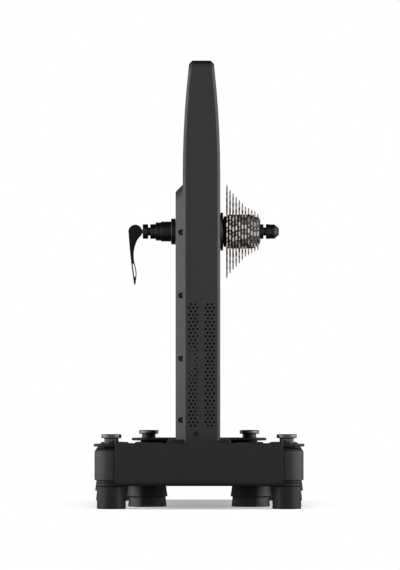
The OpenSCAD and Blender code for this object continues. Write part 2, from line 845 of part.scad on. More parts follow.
// Ball bearing with recessed shields, from its inner radius, outer radius and width
module bearing(size) {
    race = 1.6;
    dip = 0.4;
    xturn([
        [size[0], 0], [size[0] + race, 0], [size[0] + race, dip], [size[1] - race, dip],
        [size[1] - race, 0], [size[1], 0], [size[1], size[2]], [size[1] - race, size[2]],
        [size[1] - race, size[2] - dip], [size[0] + race, size[2] - dip],
        [size[0] + race, size[2]], [size[0], size[2]]
    ]);
}

module flywheel_bearings() {
    color("#c4c6c9") at_flywheel() {
        translate([frame_x - 11.5, 0, 0]) bearing(fly_bearing);
        translate([frame_x1 + 2 - fly_bearing[2], 0, 0]) bearing(fly_bearing);
    }
}

// Iron core of the brake, one pole after another round the shaft
module brake_core() {
    color("#5a5b5e") at_flywheel() along_x(core_x, core_x + core_t) difference() {
        union() {
            circle(34);
            for (i = [0:poles - 1]) rotate(i * 360 / poles) {
                translate([30, -3]) square([pole_r - 33, 6]);
                intersection() {
                    difference() {
                        circle(pole_r);
                        circle(pole_r - 5);
                    }
                    polygon([[0, 0], [pole_r * 2, -pole_r * 0.35], [pole_r * 2, pole_r * 0.35]]);
                }
            }
        }
        circle(boss_out_r + seat_gap);
    }
}

// Copper winding round each pole
module brake_coils() {
    color("#a85f2e") at_flywheel() for (i = [0:poles - 1])
        rotate([i * 360 / poles, 0, 0]) difference() {
            translate([core_x - 1.5, 35.5, -5.2]) cube([core_t + 3, pole_r - 42, 10.4]);
            translate([core_x - 0.1, 30, -3.1]) cube([core_t + 0.2, 40, 6.2]);
        }
}

// Outline of the belt round both pulleys, at a distance out from their rims
function belt_outline(t) = let (
        b = asin((big_pulley_r - small_pulley_r) / (axle_h - fly_z))
    ) concat(
        arc([0, axle_h], big_pulley_r + t, -b, 180 + b, 36),
        arc([0, fly_z], small_pulley_r + t, 180 + b, 360 - b, 12)
    );

module drive_belt() {
    color("#1f1f20") along_x(belt_x + 1, belt_x + pulley_w - 1) difference() {
        polygon(belt_outline(0.3 + belt_t));
        polygon(belt_outline(0.3));
    }
}

// Pulley turning on the axle, with the hub that drives the freehub
module drive_pulley() {
    rim_r = big_pulley_r - 6;
    web_t = 4;
    web_x = belt_x + (pulley_w - web_t) / 2;
    hole_r = (rim_r - hub_big_r) / 3;
    color("#8a8c90") at_axle() difference() {
        xturn([
            [drive_bearing[1] + 0.05, journal_x - 0.2], [hub_big_r, journal_x - 0.2],
            [hub_big_r, web_x], [rim_r, web_x], [rim_r, belt_x], [big_pulley_r, belt_x],
            [big_pulley_r, belt_x + pulley_w], [rim_r, belt_x + pulley_w],
            [rim_r, web_x + web_t], [hub_big_r, web_x + web_t], [hub_big_r, right_out - wall - 1],
            [hub_r, right_out - wall - 1], [hub_r, hub_end], [tip_r + 0.6, hub_end],
            [tip_r + 0.6, journal_end + 0.2], [drive_bearing[1] + 0.05, journal_end + 0.2]
        ]);
        for (i = [0:5])
            rotate([i * 60, 0, 0]) translate([belt_x, (rim_r + hub_big_r) / 2, 0])
                rotate([0, 90, 0]) cylinder(r = hole_r, h = pulley_w);
    }
}

module drive_bearings() {
    color("#c4c6c9") at_axle() for (i = [0, 1])
        translate([journal_x + 0.2 + i * (drive_bearing[2] + 0.2), 0, 0]) bearing(drive_bearing);
}

// Hollow axle, fixed in the frame plate, stepped down towards the sprockets
module axle() {
    color("#7c7e82") at_axle() xturn([
        [rod_hole_r, cap_x + spigot_l + 0.5], [spigot_r + seat_gap, cap_x + spigot_l + 0.5],
        [spigot_r + seat_gap, cap_x], [axle_r, cap_x], [axle_r, journal_x - 0.1],
        [journal_r, journal_x - 0.1], [journal_r, journal_end], [tip_r, journal_end],
        [tip_r, axle_end], [tip_spigot_r + seat_gap, axle_end],
        [tip_spigot_r + seat_gap, axle_end - tip_spigot_l - 0.5],
        [rod_hole_r, axle_end - tip_spigot_l - 0.5]
    ]);
}

module axle_locknut() {
    color("#202021") at_axle() xturn([
        [axle_r + seat_gap, cap_x], [locknut_r - 0.8, cap_x], [locknut_r, cap_x + 0.8],
        [locknut_r, locknut_x], [locknut_neck, locknut_x], [locknut_neck, cover_out + wall],
        [axle_r + seat_gap, cover_out + wall]
    ]);
}

module axle_ring() {
    color("#222223") at_axle() xturn([
        [hub_r + 0.4, right_out - wall], [ring_neck, right_out - wall], [ring_neck, ring_x],
        [ring_r, ring_x], [ring_r, ring_x + ring_t - 0.6], [ring_r - 0.6, ring_x + ring_t],
        [hub_r + 0.4, ring_x + ring_t]
    ]);
}

// Stepped cap on the left end of the axle
module left_end_cap() {
    x1 = cap_x - step_l[0];
    x2 = x1 - step_l[1];
    color("#232324") at_axle() xturn([
        [rod_hole_r, left_face - stub_l[0]], [stub_r, left_face - stub_l[0]], [stub_r, left_face],
        [step_r[2], left_face], [step_r[2], x2], [step_r[1], x2], [step_r[1], x1],
        [step_r[0], x1], [step_r[0], cap_x], [spigot_r, cap_x], [spigot_r, cap_x + spigot_l],
        [rod_hole_r, cap_x + spigot_l]
    ]);
}

module right_end_cap() {
    color("#232324") at_axle() xturn([
        [rod_hole_r, axle_end - tip_spigot_l], [tip_spigot_r, axle_end - tip_spigot_l],
        [tip_spigot_r, axle_end], [step_r[2], axle_end], [step_r[2], right_face],
        [stub_r, right_face], [stub_r, right_face + stub_l[1]], [rod_hole_r, right_face + stub_l[1]]
    ]);
}

// Splines of the barrel, cut in or left standing
module splines(w, depth) {
    for (i = [0:8])
        rotate(i * 40) translate([barrel_r - depth, -w / 2]) square([depth + 3, w]);
}

module freehub_body() {
    mouth_x = cassette_end - mouth_depth;
    color("#6b6c70") at_axle() difference() {
        union() {
            xcyl(barrel_r + 1.55, barrel_x, barrel_x + barrel_base);
            rotate([0, 90, 0]) translate([0, 0, barrel_x + barrel_base - 0.1])
                linear_extrude(cassette_end - 1.5 - barrel_x - barrel_base) difference() {
                    circle(barrel_r);
                    splines(4, 1.6);
                }
        }
        xcyl(hub_bearing[1] + 0.05, barrel_x + 2, mouth_x - 0.1);
        xcyl(tip_r + 0.6, barrel_x - 1, barrel_x + 3);
        xcyl(mouth_r, mouth_x, cassette_end);
        xcyl(hub_bearing[1] - 1.5, barrel_x + 2, mouth_x + 1);
    }
}

module freehub_bearings() {
    color("#c4c6c9") at_axle() {
        translate([barrel_x + 4, 0, 0]) bearing(hub_bearing);
        translate([cassette_end - 11, 0, 0]) bearing(hub_bearing);
    }
}

// Pitch radius of a sprocket for half inch chain
function pitch_r(n) = chain_pitch / (2 * sin(180 / n));

// Outline of a sprocket: each roller's seat, then the tip of the tooth beside it
function sprocket_points(n) = [
    for (i = [0:n - 1], k = [0:5]) let (
        a = i * 360 / n,
        p = pitch_r(n),
        b = a + 180 + [60, 22, -22, -60, 0, 0][k],
        tip = p + tooth_h,
        t = a + 180 / n + (k == 4 ? -1 : 1) * asin(tooth_tip / 2 / tip)
    ) k < 4 ? [p * cos(a) + roller_r * cos(b), p * sin(a) + roller_r * sin(b)] : [tip * cos(t), tip * sin(t)]
];

module sprockets() {
    color("#8d857a") at_axle() for (i = [0:len(teeth) - 1])
        translate([first_sprocket + i * sprocket_gap, 0, 0]) rotate([0, 90, 0])
            linear_extrude(sprocket_t) difference() {
                rotate(i * 7) polygon(sprocket_points(teeth[i]));
                difference() {
                    circle(barrel_r + run_gap);
                    splines(3.6, 1.4);
                }
            }
}

module spacers() {
    color("#3a3835") at_axle() for (i = [0:len(teeth) - 2])
        translate([first_sprocket + i * sprocket_gap + sprocket_t + seat_gap, 0, 0])
            spacer(min(spacer_r, pitch_r(teeth[i + 1]) - roller_r - 0.6));
}

module spacer(r) {
    difference() {
        xcyl(r, 0, sprocket_gap - sprocket_t - 2 * seat_gap);
        xcyl(barrel_r + run_gap, -1, sprocket_gap);
    }
}

// Lockring: a threaded neck in the barrel's mouth under a bevelled flange
module lockring() {
    bore = step_r[2] + 0.4;
    flange_r = barrel_r - 0.7;
    color("#3c3b3a") at_axle() xturn([
        [bore, cassette_end - mouth_depth + 0.8], [mouth_r - run_gap, cassette_end - mouth_depth + 0.8],
        [mouth_r - run_gap, cassette_end + seat_gap], [flange_r, cassette_end + seat_gap],
        [flange_r, cassette_end + 0.5], [flange_r - 3, cassette_end + lockring_t],
        [bore, cassette_end + lockring_t]
    ]);
}

// Skewer rod with the eye that the lever's pin passes through
module skewer_rod() {
    color("#4c4d50") at_axle() difference() {
        union() {
            xcyl(rod_r, head_x + rod_r, nut_x + nut_l - cone_l);
            translate([head_x, 0, 0]) rotate([90, 0, 0]) cylinder(r = eye_r, h = eye_w, center = true);
        }
        translate([head_x, 0, 0]) rotate([90, 0, 0])
            cylinder(r = rod_r + run_gap, h = 2 * eye_w, center = true);
    }
}

module cam_cup() {
    color("#202021") at_axle() xturn([
        [rod_r + seat_gap, cup_x - cup_t], [cup_r - 0.6, cup_x - cup_t], [cup_r, cup_x - cup_t + 0.6],
        [cup_r, cup_x - 0.6], [cup_r - 0.6, cup_x], [rod_r + seat_gap, cup_x]
    ]);
}

module cam_pin() {
    color("#8a8b8e") at_axle() translate([head_x, 0, 0]) rotate([90, 0, 0])
        cylinder(r = rod_r, h = lever_w + 1.6, center = true);
}

// Place of a point on the arm, its depth in proportion to the lever's length
function arm_at(i, x) = [x, -arm[i][0] * lever_l / arm[len(arm) - 1][0]];

module lever_shape() {
    last = len(arm) - 1;
    polygon(concat(
        [for (i = [0:last]) arm_at(i, arm[i][1])],
        [for (i = [last:-1:0]) arm_at(i, arm[i][2])]
    ));
}

module lever_slot() {
    a = arm_slot[0];
    b = arm_slot[1];
    polygon(concat(
        [arm_at(a, arm[a][1] + arm_strand[0]) + [0.7, arm_strand[0]]],
        [for (i = [a:b]) arm_at(i, arm[i][1] + arm_strand[0])],
        [arm_at(b, arm[b][2] - arm_strand[1]) - [0.7, arm_strand[0]]],
        [for (i = [b:-1:a]) arm_at(i, arm[i][2] - arm_strand[1])]
    ));
}

// Lever with a forked head, hanging from the pin
module qr_lever() {
    color("#1b1b1c") at_axle() translate([head_x, 0, 0]) difference() {
        union() {
            along_y(-lever_w / 2, lever_w / 2) lever_shape();
            rotate([90, 0, 0]) cylinder(r = head_r, h = lever_w + 2, center = true);
        }
        along_y(-lever_w, lever_w) lever_slot();
        translate([-head_r - 1, -eye_w / 2 - 0.25, -rod_r - 0.3])
            cube([2 * head_r + 2, eye_w + 0.5, head_r + rod_r + 2]);
        rotate([90, 0, 0]) cylinder(r = eye_r + 0.6, h = eye_w + 0.5, center = true);
        rotate([90, 0, 0]) cylinder(r = rod_r + seat_gap, h = 40, center = true);
    }
}

module qr_nut() {
    color("#1b1b1c") at_axle() xturn([
        [rod_r + run_gap, nut_x], [nut_r - 0.5, nut_x], [nut_r, nut_x + 0.5],
        [nut_r, nut_x + nut_l - cone_l], [nut_tip_r, nut_x + nut_l], [0, nut_x + nut_l],
        [0, nut_x + nut_l - cone_l + 1], [rod_r + run_gap, nut_x + nut_l - cone_l + 1]
    ]);
}

base_frame();
pedestal();
rear_panel();
front_panel();
rear_top_plate();
rear_bottom_plate();
front_top_plate();
front_bottom_plate();
placed_leg(-1, -1);  // rear_left_leg
placed_leg(1, -1);  // rear_right_leg
placed_leg(-1, 1);  // front_left_leg
placed_leg(1, 1);  // front_right_leg
leg_foot(-1, -1);  // rear_left_leg_foot
leg_foot(1, -1);  // rear_right_leg_foot
leg_foot(-1, 1);  // front_left_leg_foot
leg_foot(1, 1);  // front_right_leg_foot
hinge_foot(-1, -1);  // rear_left_hinge_foot
hinge_foot(1, -1);  // rear_right_hinge_foot
hinge_foot(-1, 1);  // front_left_hinge_foot
hinge_foot(1, 1);  // front_right_hinge_foot
hinge_bolts();
knob(-1, -1);  // rear_left_knob
knob(1, -1);  // rear_right_knob
knob(-1, 1);  // front_left_knob
knob(1, 1);  // front_right_knob
left_shell();
right_shell();
flywheel_cover();
top_cap();
shell_screws();
frame_plate();
frame_bolts();
circuit_board();
power_jack();
status_lens();
flywheel();
flywheel_shaft();
flywheel_pulley();
flywheel_bearings();
brake_core();
brake_coils();
drive_belt();
drive_pulley();
drive_bearings();
axle();
axle_locknut();
axle_ring();
left_end_cap();
right_end_cap();
freehub_body();
freehub_bearings();
sprockets();
spacers();
lockring();
skewer_rod();
cam_cup();
cam_pin();
qr_lever();
qr_nut();
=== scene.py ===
"""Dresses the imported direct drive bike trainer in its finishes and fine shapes, and sets up its studio."""

import math

import bmesh
import bpy
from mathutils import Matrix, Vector


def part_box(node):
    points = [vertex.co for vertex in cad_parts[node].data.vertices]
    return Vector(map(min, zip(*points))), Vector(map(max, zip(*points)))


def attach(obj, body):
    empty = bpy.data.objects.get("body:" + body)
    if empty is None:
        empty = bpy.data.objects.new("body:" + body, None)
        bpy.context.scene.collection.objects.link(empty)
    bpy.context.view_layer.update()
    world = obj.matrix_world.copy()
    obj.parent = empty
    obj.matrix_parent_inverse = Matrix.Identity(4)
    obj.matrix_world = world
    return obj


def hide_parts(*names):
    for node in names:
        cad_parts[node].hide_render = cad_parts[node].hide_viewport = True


bl_info = {
    "name": "Direct drive trainer dressing",
    "version": (1, 0, 0),
    "blender": (4, 5, 0),
    "location": "3D View > Sidebar > Trainer",
    "description": "Finishes, fillets, feet, knobs, cassette and quick release of the folded trainer",
    "category": "Object",
}

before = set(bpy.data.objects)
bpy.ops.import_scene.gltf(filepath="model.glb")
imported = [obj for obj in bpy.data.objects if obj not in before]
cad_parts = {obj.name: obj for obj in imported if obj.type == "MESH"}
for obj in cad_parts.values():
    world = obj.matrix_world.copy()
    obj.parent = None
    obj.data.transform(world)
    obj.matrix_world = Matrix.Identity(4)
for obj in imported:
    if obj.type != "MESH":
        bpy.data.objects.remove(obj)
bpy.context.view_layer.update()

MM = 0.001
ENDS = ("rear", "front")
SIDES = ("left", "right")

# Gap under which two points are one, in metres
WELD = 1e-6
# Radius under which a point of a turned outline lies on the axis, in metres
ON_AXIS = 1e-7
# Angle in degrees under which two faces of a CAD mesh are one flat face
FLAT_ANGLE = 0.4
# Largest share of a side that a rounded corner of an outline takes
CORNER_SHARE = 0.45
# Stretch in which most values of a noise texture lie
MID_NOISE = (0.3, 0.7)
# Tone that such a stretch is spread to
TONE_SWING = (-0.5, 0.5)


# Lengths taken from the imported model

def middle(node):
    """Middle of a CAD node's box."""
    low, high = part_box(node)
    return (low + high) / 2


AXLE_Z = middle("axle").z
FLYWHEEL_Z = middle("flywheel").z


# Settings

def length_setting(name, description, millimetres):
    """A length that is kept in metres and shown in the scene's unit."""
    return bpy.props.FloatProperty(
        name=name, description=description, default=millimetres * MM, min=0.0, unit="LENGTH", precision=5
    )


def colour_setting(name, description, red, green, blue):
    """A finish colour in linear light."""
    return bpy.props.FloatVectorProperty(
        name=name, description=description, default=(red, green, blue), min=0.0, max=1.0, size=3,
        subtype="COLOR",
    )


def factor_setting(name, description, value, top=1.0):
    """A plain number from nought to its top."""
    return bpy.props.FloatProperty(name=name, description=description, default=value, min=0.0, max=top)


class TrainerShapes(bpy.types.PropertyGroup):
    """Sizes of the fine shapes."""

    shell_fillet: length_setting("Shell fillet", "Radius along the edges of the moulded shells", 0.35)
    cap_fillet: length_setting("Cap fillet", "Radius along the edges of the cap along the top", 1.1)
    coat_fillet: length_setting("Coated edge", "Radius along the edges of coated metal", 0.6)
    leg_fillet: length_setting("Leg fillet", "Radius along the edges of the legs", 0.9)
    rubber_fillet: length_setting("Rubber fillet", "Radius along the edges of the rubber feet", 0.8)
    turned_fillet: length_setting("Turned fillet", "Radius along the edges of turned parts", 0.3)
    lever_fillet: length_setting("Lever fillet", "Radius along the edges of the lever", 1.1)
    knob_ridge: length_setting("Knob ridge", "Height of the grip ridges round a knob", 0.12)
    knob_ridges: bpy.props.IntProperty(
        name="Knob ridges", description="Number of grip ridges round a knob", default=30, min=8, max=60
    )
    tooth_chamfer: length_setting("Tooth chamfer", "Thickness taken off each side of a tooth's tip", 0.4)


class TrainerColours(bpy.types.PropertyGroup):
    """Colours of the finishes."""

    shell: colour_setting("Shell", "Moulded plastic of the tower", 0.0195, 0.0195, 0.02)
    cap: colour_setting("Cap", "Smooth black plastic", 0.006, 0.006, 0.0065)
    coat: colour_setting("Coat", "Powder coat on the base", 0.0112, 0.0112, 0.0117)
    leg: colour_setting("Leg", "Satin coat on the legs", 0.016, 0.016, 0.0165)
    rubber: colour_setting("Rubber", "Rubber of the feet", 0.007, 0.007, 0.0075)
    knob: colour_setting("Knob", "Plastic of the knobs", 0.004, 0.004, 0.0045)
    black_alloy: colour_setting("Black alloy", "Black anodised turned parts", 0.0055, 0.0055, 0.006)
    bright_steel: colour_setting("Bright steel", "Bolts and bearings", 0.52, 0.52, 0.53)
    sprocket: colour_setting("Sprocket", "Warm nickel plate on the sprockets", 0.76, 0.71, 0.67)
    spacer: colour_setting("Spacer", "Dark spacers between the sprockets", 0.25, 0.22, 0.2)
    copper: colour_setting("Copper", "Enamelled windings", 0.5, 0.18, 0.07)
    board: colour_setting("Board", "Circuit board", 0.02, 0.1, 0.045)


class TrainerStudio(bpy.types.PropertyGroup):
    """Camera, lamps and floor."""

    camera_distance: length_setting("Camera distance", "From the middle of the trainer to the camera", 7750)
    camera_height: length_setting("Camera height", "Height of the camera above the floor", 265.4)
    camera_side: length_setting("Camera side", "Sideways place of the camera", 1.13)
    lens: bpy.props.FloatProperty(
        name="Lens", description="Focal length in millimetres", default=404.7, min=50.0
    )
    side_power: bpy.props.FloatProperty(
        name="Side softboxes", description="Power of each softbox beside the trainer", default=34.0, min=0.0
    )
    top_power: bpy.props.FloatProperty(
        name="Top softbox", description="Power of the softbox overhead", default=4.0, min=0.0
    )
    room: factor_setting("Room", "Brightness of the grey room round the studio", 0.5, 2.0)
    front_gloss: factor_setting("Front in gloss", "Brightness that gloss shows behind the camera", 0.9, 2.0)
    back_gloss: factor_setting("Back in gloss", "Brightness that gloss shows beyond the trainer", 0.35, 2.0)
    room_gloss: factor_setting("Room in gloss", "Brightness that gloss shows elsewhere in the room", 0.01)
    floor_tone: factor_setting("Floor tone", "Grey of the floor", 0.8)
    floor_gloss: factor_setting("Floor in gloss", "Grey of the near floor as gloss shows it", 0.08)
    far_gloss: factor_setting("Far floor in gloss", "Grey of the far floor as gloss shows it", 0.7)
    floor_lift: factor_setting("Floor lift", "Light that the floor adds for the camera", 0.33)


# Nodes, and the groups of them that several finishes share

def node_group(name, inputs, outputs):
    """An empty shader group with its sockets, and its input and output nodes."""
    group = bpy.data.node_groups.new(name, "ShaderNodeTree")
    for label, kind, value in inputs:
        socket = group.interface.new_socket(name=label, in_out="INPUT", socket_type=kind)
        if value is not None:
            socket.default_value = value
    for label, kind in outputs:
        group.interface.new_socket(name=label, in_out="OUTPUT", socket_type=kind)
    return group, group.nodes.new("NodeGroupInput"), group.nodes.new("NodeGroupOutput")


def math_node(tree, operation, first, second=None, clamp=False):
    """A maths node on two sockets or numbers."""
    node = tree.nodes.new("ShaderNodeMath")
    node.operation = operation
    node.use_clamp = clamp
    for index, value in enumerate((first, second)):
        if value is None:
            continue
        if isinstance(value, (int, float)):
            node.inputs[index].default_value = value
        else:
            tree.links.new(value, node.inputs[index])
    return node.outputs[0]


def mapped(tree, value, stretch, result=(0.0, 1.0)):
    """A value taken from one stretch to another, held at both ends."""
    node = tree.nodes.new("ShaderNodeMapRange")
    node.inputs["From Min"].default_value, node.inputs["From Max"].default_value = stretch
    node.inputs["To Min"].default_value, node.inputs["To Max"].default_value = result
    tree.links.new(value, node.inputs["Value"])
    return node.outputs["Result"]


def noise(tree, vector, scale, detail=2.0, roughness=0.5):
    """A noise texture on a vector socket; its scale is a number or a socket."""
    node = tree.nodes.new("ShaderNodeTexNoise")
    node.inputs["Detail"].default_value = detail
    node.inputs["Roughness"].default_value = roughness
    tree.links.new(vector, node.inputs["Vector"])
    if isinstance(scale, (int, float)):
        node.inputs["Scale"].default_value = scale
    else:
        tree.links.new(scale, node.inputs["Scale"])
    return node.outputs["Fac"]


def grain_group():
    """Fine pebbled grain of a mould or a powder coat, with slow drifts of tone."""
    pebble_share = 0.7
    group, start, end = node_group(
        "trainer_grain",
        [("Vector", "NodeSocketVector", None), ("Grains", "NodeSocketFloat", 2500.0),
         ("Drift", "NodeSocketFloat", 14.0)],
        [("Height", "NodeSocketFloat"), ("Tone", "NodeSocketFloat")],
    )
    vector = start.outputs["Vector"]
    pebble = group.nodes.new("ShaderNodeTexVoronoi")
    pebble.feature = "SMOOTH_F1"
    pebble.inputs["Smoothness"].default_value = 0.6
    group.links.new(vector, pebble.inputs["Vector"])
    group.links.new(start.outputs["Grains"], pebble.inputs["Scale"])
    fine = noise(group, vector, start.outputs["Grains"], detail=1.0)
    height = math_node(group, "ADD", math_node(group, "MULTIPLY", pebble.outputs["Distance"], pebble_share),
                       math_node(group, "MULTIPLY", fine, 1.0 - pebble_share))
    group.links.new(height, end.inputs["Height"])
    slow = noise(group, vector, start.outputs["Drift"], detail=4.0, roughness=0.6)
    pebble_tone = mapped(group, pebble.outputs["Distance"], (0.0, 0.8), (-0.25, 0.25))
    tone = math_node(group, "ADD", mapped(group, slow, MID_NOISE, TONE_SWING), pebble_tone)
    group.links.new(tone, end.inputs["Tone"])
    return group


def rub_group():
    """Rubbed edges: nought on flat stretches and up to one where an edge is sharp."""
    group, start, end = node_group(
        "trainer_edge_rub",
        [("Vector", "NodeSocketVector", None), ("Reach", "NodeSocketFloat", 0.6 * MM)],
        [("Rub", "NodeSocketFloat")],
    )
    soft = group.nodes.new("ShaderNodeBevel")
    soft.samples = 4
    group.links.new(start.outputs["Reach"], soft.inputs["Radius"])
    flat = group.nodes.new("ShaderNodeNewGeometry")
    dot = group.nodes.new("ShaderNodeVectorMath")
    dot.operation = "DOT_PRODUCT"
    group.links.new(soft.outputs["Normal"], dot.inputs[0])
    group.links.new(flat.outputs["Normal"], dot.inputs[1])
    edge = mapped(group, dot.outputs["Value"], (0.995, 0.8))
    worn = noise(group, start.outputs["Vector"], scale=90.0, detail=5.0, roughness=0.7)
    patch = mapped(group, worn, (0.45, 0.7))
    group.links.new(math_node(group, "MULTIPLY", edge, patch, True), end.inputs["Rub"])
    return group


def dust_group():
    """Thin dust on what faces up, in patches."""
    group, start, end = node_group(
        "trainer_dust",
        [("Vector", "NodeSocketVector", None), ("Amount", "NodeSocketFloat", 0.3)],
        [("Dust", "NodeSocketFloat")],
    )
    normal = group.nodes.new("ShaderNodeNewGeometry")
    parts = group.nodes.new("ShaderNodeSeparateXYZ")
    group.links.new(normal.outputs["Normal"], parts.inputs[0])
    up = mapped(group, parts.outputs["Z"], (0.3, 1.0))
    settled = noise(group, start.outputs["Vector"], scale=35.0, detail=6.0, roughness=0.65)
    patches = math_node(group, "MULTIPLY", up, mapped(group, settled, (0.35, 0.75)))
    dust = math_node(group, "MULTIPLY", patches, start.outputs["Amount"], True)
    group.links.new(dust, end.inputs["Dust"])
    return group


def rings_group():
    """Lathe marks round an axis along X at a height: rings on faces and on barrels."""
    group, start, end = node_group(
        "trainer_lathe_rings",
        [("Vector", "NodeSocketVector", None), ("Axis Height", "NodeSocketFloat", AXLE_Z),
         ("Marks", "NodeSocketFloat", 2600.0)],
        [("Height", "NodeSocketFloat"), ("Tone", "NodeSocketFloat")],
    )
    parts = group.nodes.new("ShaderNodeSeparateXYZ")
    group.links.new(start.outputs["Vector"], parts.inputs[0])
    up = math_node(group, "SUBTRACT", parts.outputs["Z"], start.outputs["Axis Height"])
    square = math_node(group, "ADD", math_node(group, "MULTIPLY", up, up),
                       math_node(group, "MULTIPLY", parts.outputs["Y"], parts.outputs["Y"]))
    radius = math_node(group, "SQRT", square)
    place = group.nodes.new("ShaderNodeCombineXYZ")
    group.links.new(parts.outputs["X"], place.inputs["X"])
    group.links.new(radius, place.inputs["Y"])
    lines = noise(group, place.outputs[0], start.outputs["Marks"], detail=2.0, roughness=0.6)
    group.links.new(lines, end.inputs["Height"])
    broad = noise(group, place.outputs[0], scale=420.0, detail=3.0, roughness=0.6)
    group.links.new(mapped(group, broad, MID_NOISE, TONE_SWING), end.inputs["Tone"])
    return group


GROUPS = {}


def shared_group(key):
    """A shared group, built the first time that a finish asks for it."""
    makers = {"grain": grain_group, "rub": rub_group, "dust": dust_group, "rings": rings_group}
    if key not in GROUPS:
        GROUPS[key] = makers[key]()
    return GROUPS[key]


def place_group(tree, key, vector, **values):
    """A shared group in a material's tree, fed with the object's own coordinates."""
    node = tree.nodes.new("ShaderNodeGroup")
    node.node_tree = shared_group(key)
    tree.links.new(vector, node.inputs["Vector"])
    for label, value in values.items():
        node.inputs[label.replace("_", " ")].default_value = value
    return node


def toned(tree, colour, value, spread):
    """A colour that gets lighter and darker with a value round nought."""
    shade = math_node(tree, "ADD", math_node(tree, "MULTIPLY", value, spread), 1.0)
    node = tree.nodes.new("ShaderNodeVectorMath")
    node.operation = "SCALE"
    node.inputs[0].default_value = colour
    tree.links.new(shade, node.inputs["Scale"])
    return node.outputs[0]


def blended(tree, factor, under, over):
    """One colour laid over another by a factor."""
    node = tree.nodes.new("ShaderNodeMix")
    node.data_type = "RGBA"
    tree.links.new(factor, node.inputs["Factor"])
    tree.links.new(under, node.inputs[6])
    node.inputs[7].default_value = (*over, 1.0)
    return node.outputs[2]


# Finishes

MATERIALS = {}
COAT_ROUGHNESS = 0.25
BUMP_STRENGTH = 0.6
DUST_COLOUR = (0.16, 0.155, 0.15)
# What a rubbed edge takes off the roughness, and what dust adds to it
RUB_POLISH = 0.15
DUST_ROUGHNESS = 0.4


def finish(name, colour, roughness, metallic=0.0, specular=0.5, surface="grain", marks=2500.0, depth=0.02,
           spread=0.12, rough_spread=0.06, rub=0.0, rub_colour=(0.2, 0.2, 0.2), dust=0.0, height=AXLE_Z,
           coat=0.0, drift=14.0):
    """A named finish: grain or lathe marks in colour, roughness and bump, rubbed edges and dust."""
    if name in MATERIALS:
        return MATERIALS[name]
    material = bpy.data.materials.new(name)
    material.use_nodes = True
    tree = material.node_tree
    shader = tree.nodes["Principled BSDF"]
    shader.inputs["Metallic"].default_value = metallic
    shader.inputs["Specular IOR Level"].default_value = specular
    shader.inputs["Coat Weight"].default_value = coat
    shader.inputs["Coat Roughness"].default_value = COAT_ROUGHNESS
    vector = tree.nodes.new("ShaderNodeTexCoord").outputs["Object"]
    if surface == "rings":
        skin = place_group(tree, "rings", vector, Marks=marks, Axis_Height=height)
    else:
        skin = place_group(tree, "grain", vector, Grains=marks, Drift=drift)
    tint = toned(tree, colour, skin.outputs["Tone"], spread)
    rough = math_node(tree, "ADD", math_node(tree, "MULTIPLY", skin.outputs["Tone"], rough_spread), roughness)
    if rub > 0.0:
        edge = place_group(tree, "rub", vector)
        share = math_node(tree, "MULTIPLY", edge.outputs["Rub"], rub, True)
        tint = blended(tree, share, tint, rub_colour)
        rough = math_node(tree, "SUBTRACT", rough, math_node(tree, "MULTIPLY", share, RUB_POLISH))
    if dust > 0.0:
        film = place_group(tree, "dust", vector, Amount=dust)
        tint = blended(tree, film.outputs["Dust"], tint, DUST_COLOUR)
        dulled = math_node(tree, "MULTIPLY", film.outputs["Dust"], DUST_ROUGHNESS)
        rough = math_node(tree, "ADD", rough, dulled, True)
    bump = tree.nodes.new("ShaderNodeBump")
    bump.inputs["Strength"].default_value = BUMP_STRENGTH
    bump.inputs["Distance"].default_value = depth * MM
    tree.links.new(skin.outputs["Height"], bump.inputs["Height"])
    tree.links.new(tint, shader.inputs["Base Color"])
    tree.links.new(rough, shader.inputs["Roughness"])
    tree.links.new(bump.outputs["Normal"], shader.inputs["Normal"])
    MATERIALS[name] = material
    return material


def colours():
    """The colour settings."""
    return bpy.context.scene.trainer_colours


def shapes():
    """The shape settings."""
    return bpy.context.scene.trainer_shapes


def shell_plastic():
    return finish("shell_plastic", tuple(colours().shell), 0.46, specular=0.28, marks=2100.0, depth=0.03,
                  spread=0.08, rub=0.25, rub_colour=(0.09, 0.09, 0.09), dust=0.12)


def cap_plastic():
    return finish("cap_plastic", tuple(colours().cap), 0.3, specular=0.25, marks=3200.0, depth=0.008,
                  spread=0.15, dust=0.15)


def base_coat():
    return finish("base_coat", tuple(colours().coat), 0.5, specular=0.25, marks=1500.0, depth=0.05,
                  spread=0.1, rub=0.35, rub_colour=(0.12, 0.12, 0.12), dust=0.2)


def panel_coat():
    return finish("panel_coat", tuple(colours().coat), 0.55, specular=0.25, marks=1700.0, depth=0.04,
                  spread=0.06, rub=0.3, rub_colour=(0.08, 0.08, 0.08), dust=0.15)


def plate_coat():
    return finish("plate_coat", tuple(colours().cap), 0.38, specular=0.2, marks=1900.0, depth=0.03,
                  spread=0.12, rub=0.4, rub_colour=(0.16, 0.16, 0.16), dust=0.2)


def leg_coat():
    return finish("leg_coat", tuple(colours().leg), 0.42, specular=0.35, marks=1300.0, depth=0.04,
                  spread=0.1, rub=0.4, rub_colour=(0.12, 0.12, 0.12), dust=0.2)


def foot_rubber():
    return finish("foot_rubber", tuple(colours().rubber), 0.4, specular=0.3, marks=900.0, depth=0.05,
                  spread=0.2, rough_spread=0.1, dust=0.1)


def knob_plastic():
    return finish("knob_plastic", tuple(colours().knob), 0.16, specular=0.8, marks=2600.0, depth=0.006,
                  spread=0.1, rub=0.25, rub_colour=(0.08, 0.08, 0.08), dust=0.1, coat=0.35)


def knob_top():
    return finish("knob_top", tuple(colours().knob), 0.5, specular=0.3, marks=1900.0, depth=0.02, spread=0.15,
                  rub=0.2, rub_colour=(0.07, 0.07, 0.07), dust=0.15)


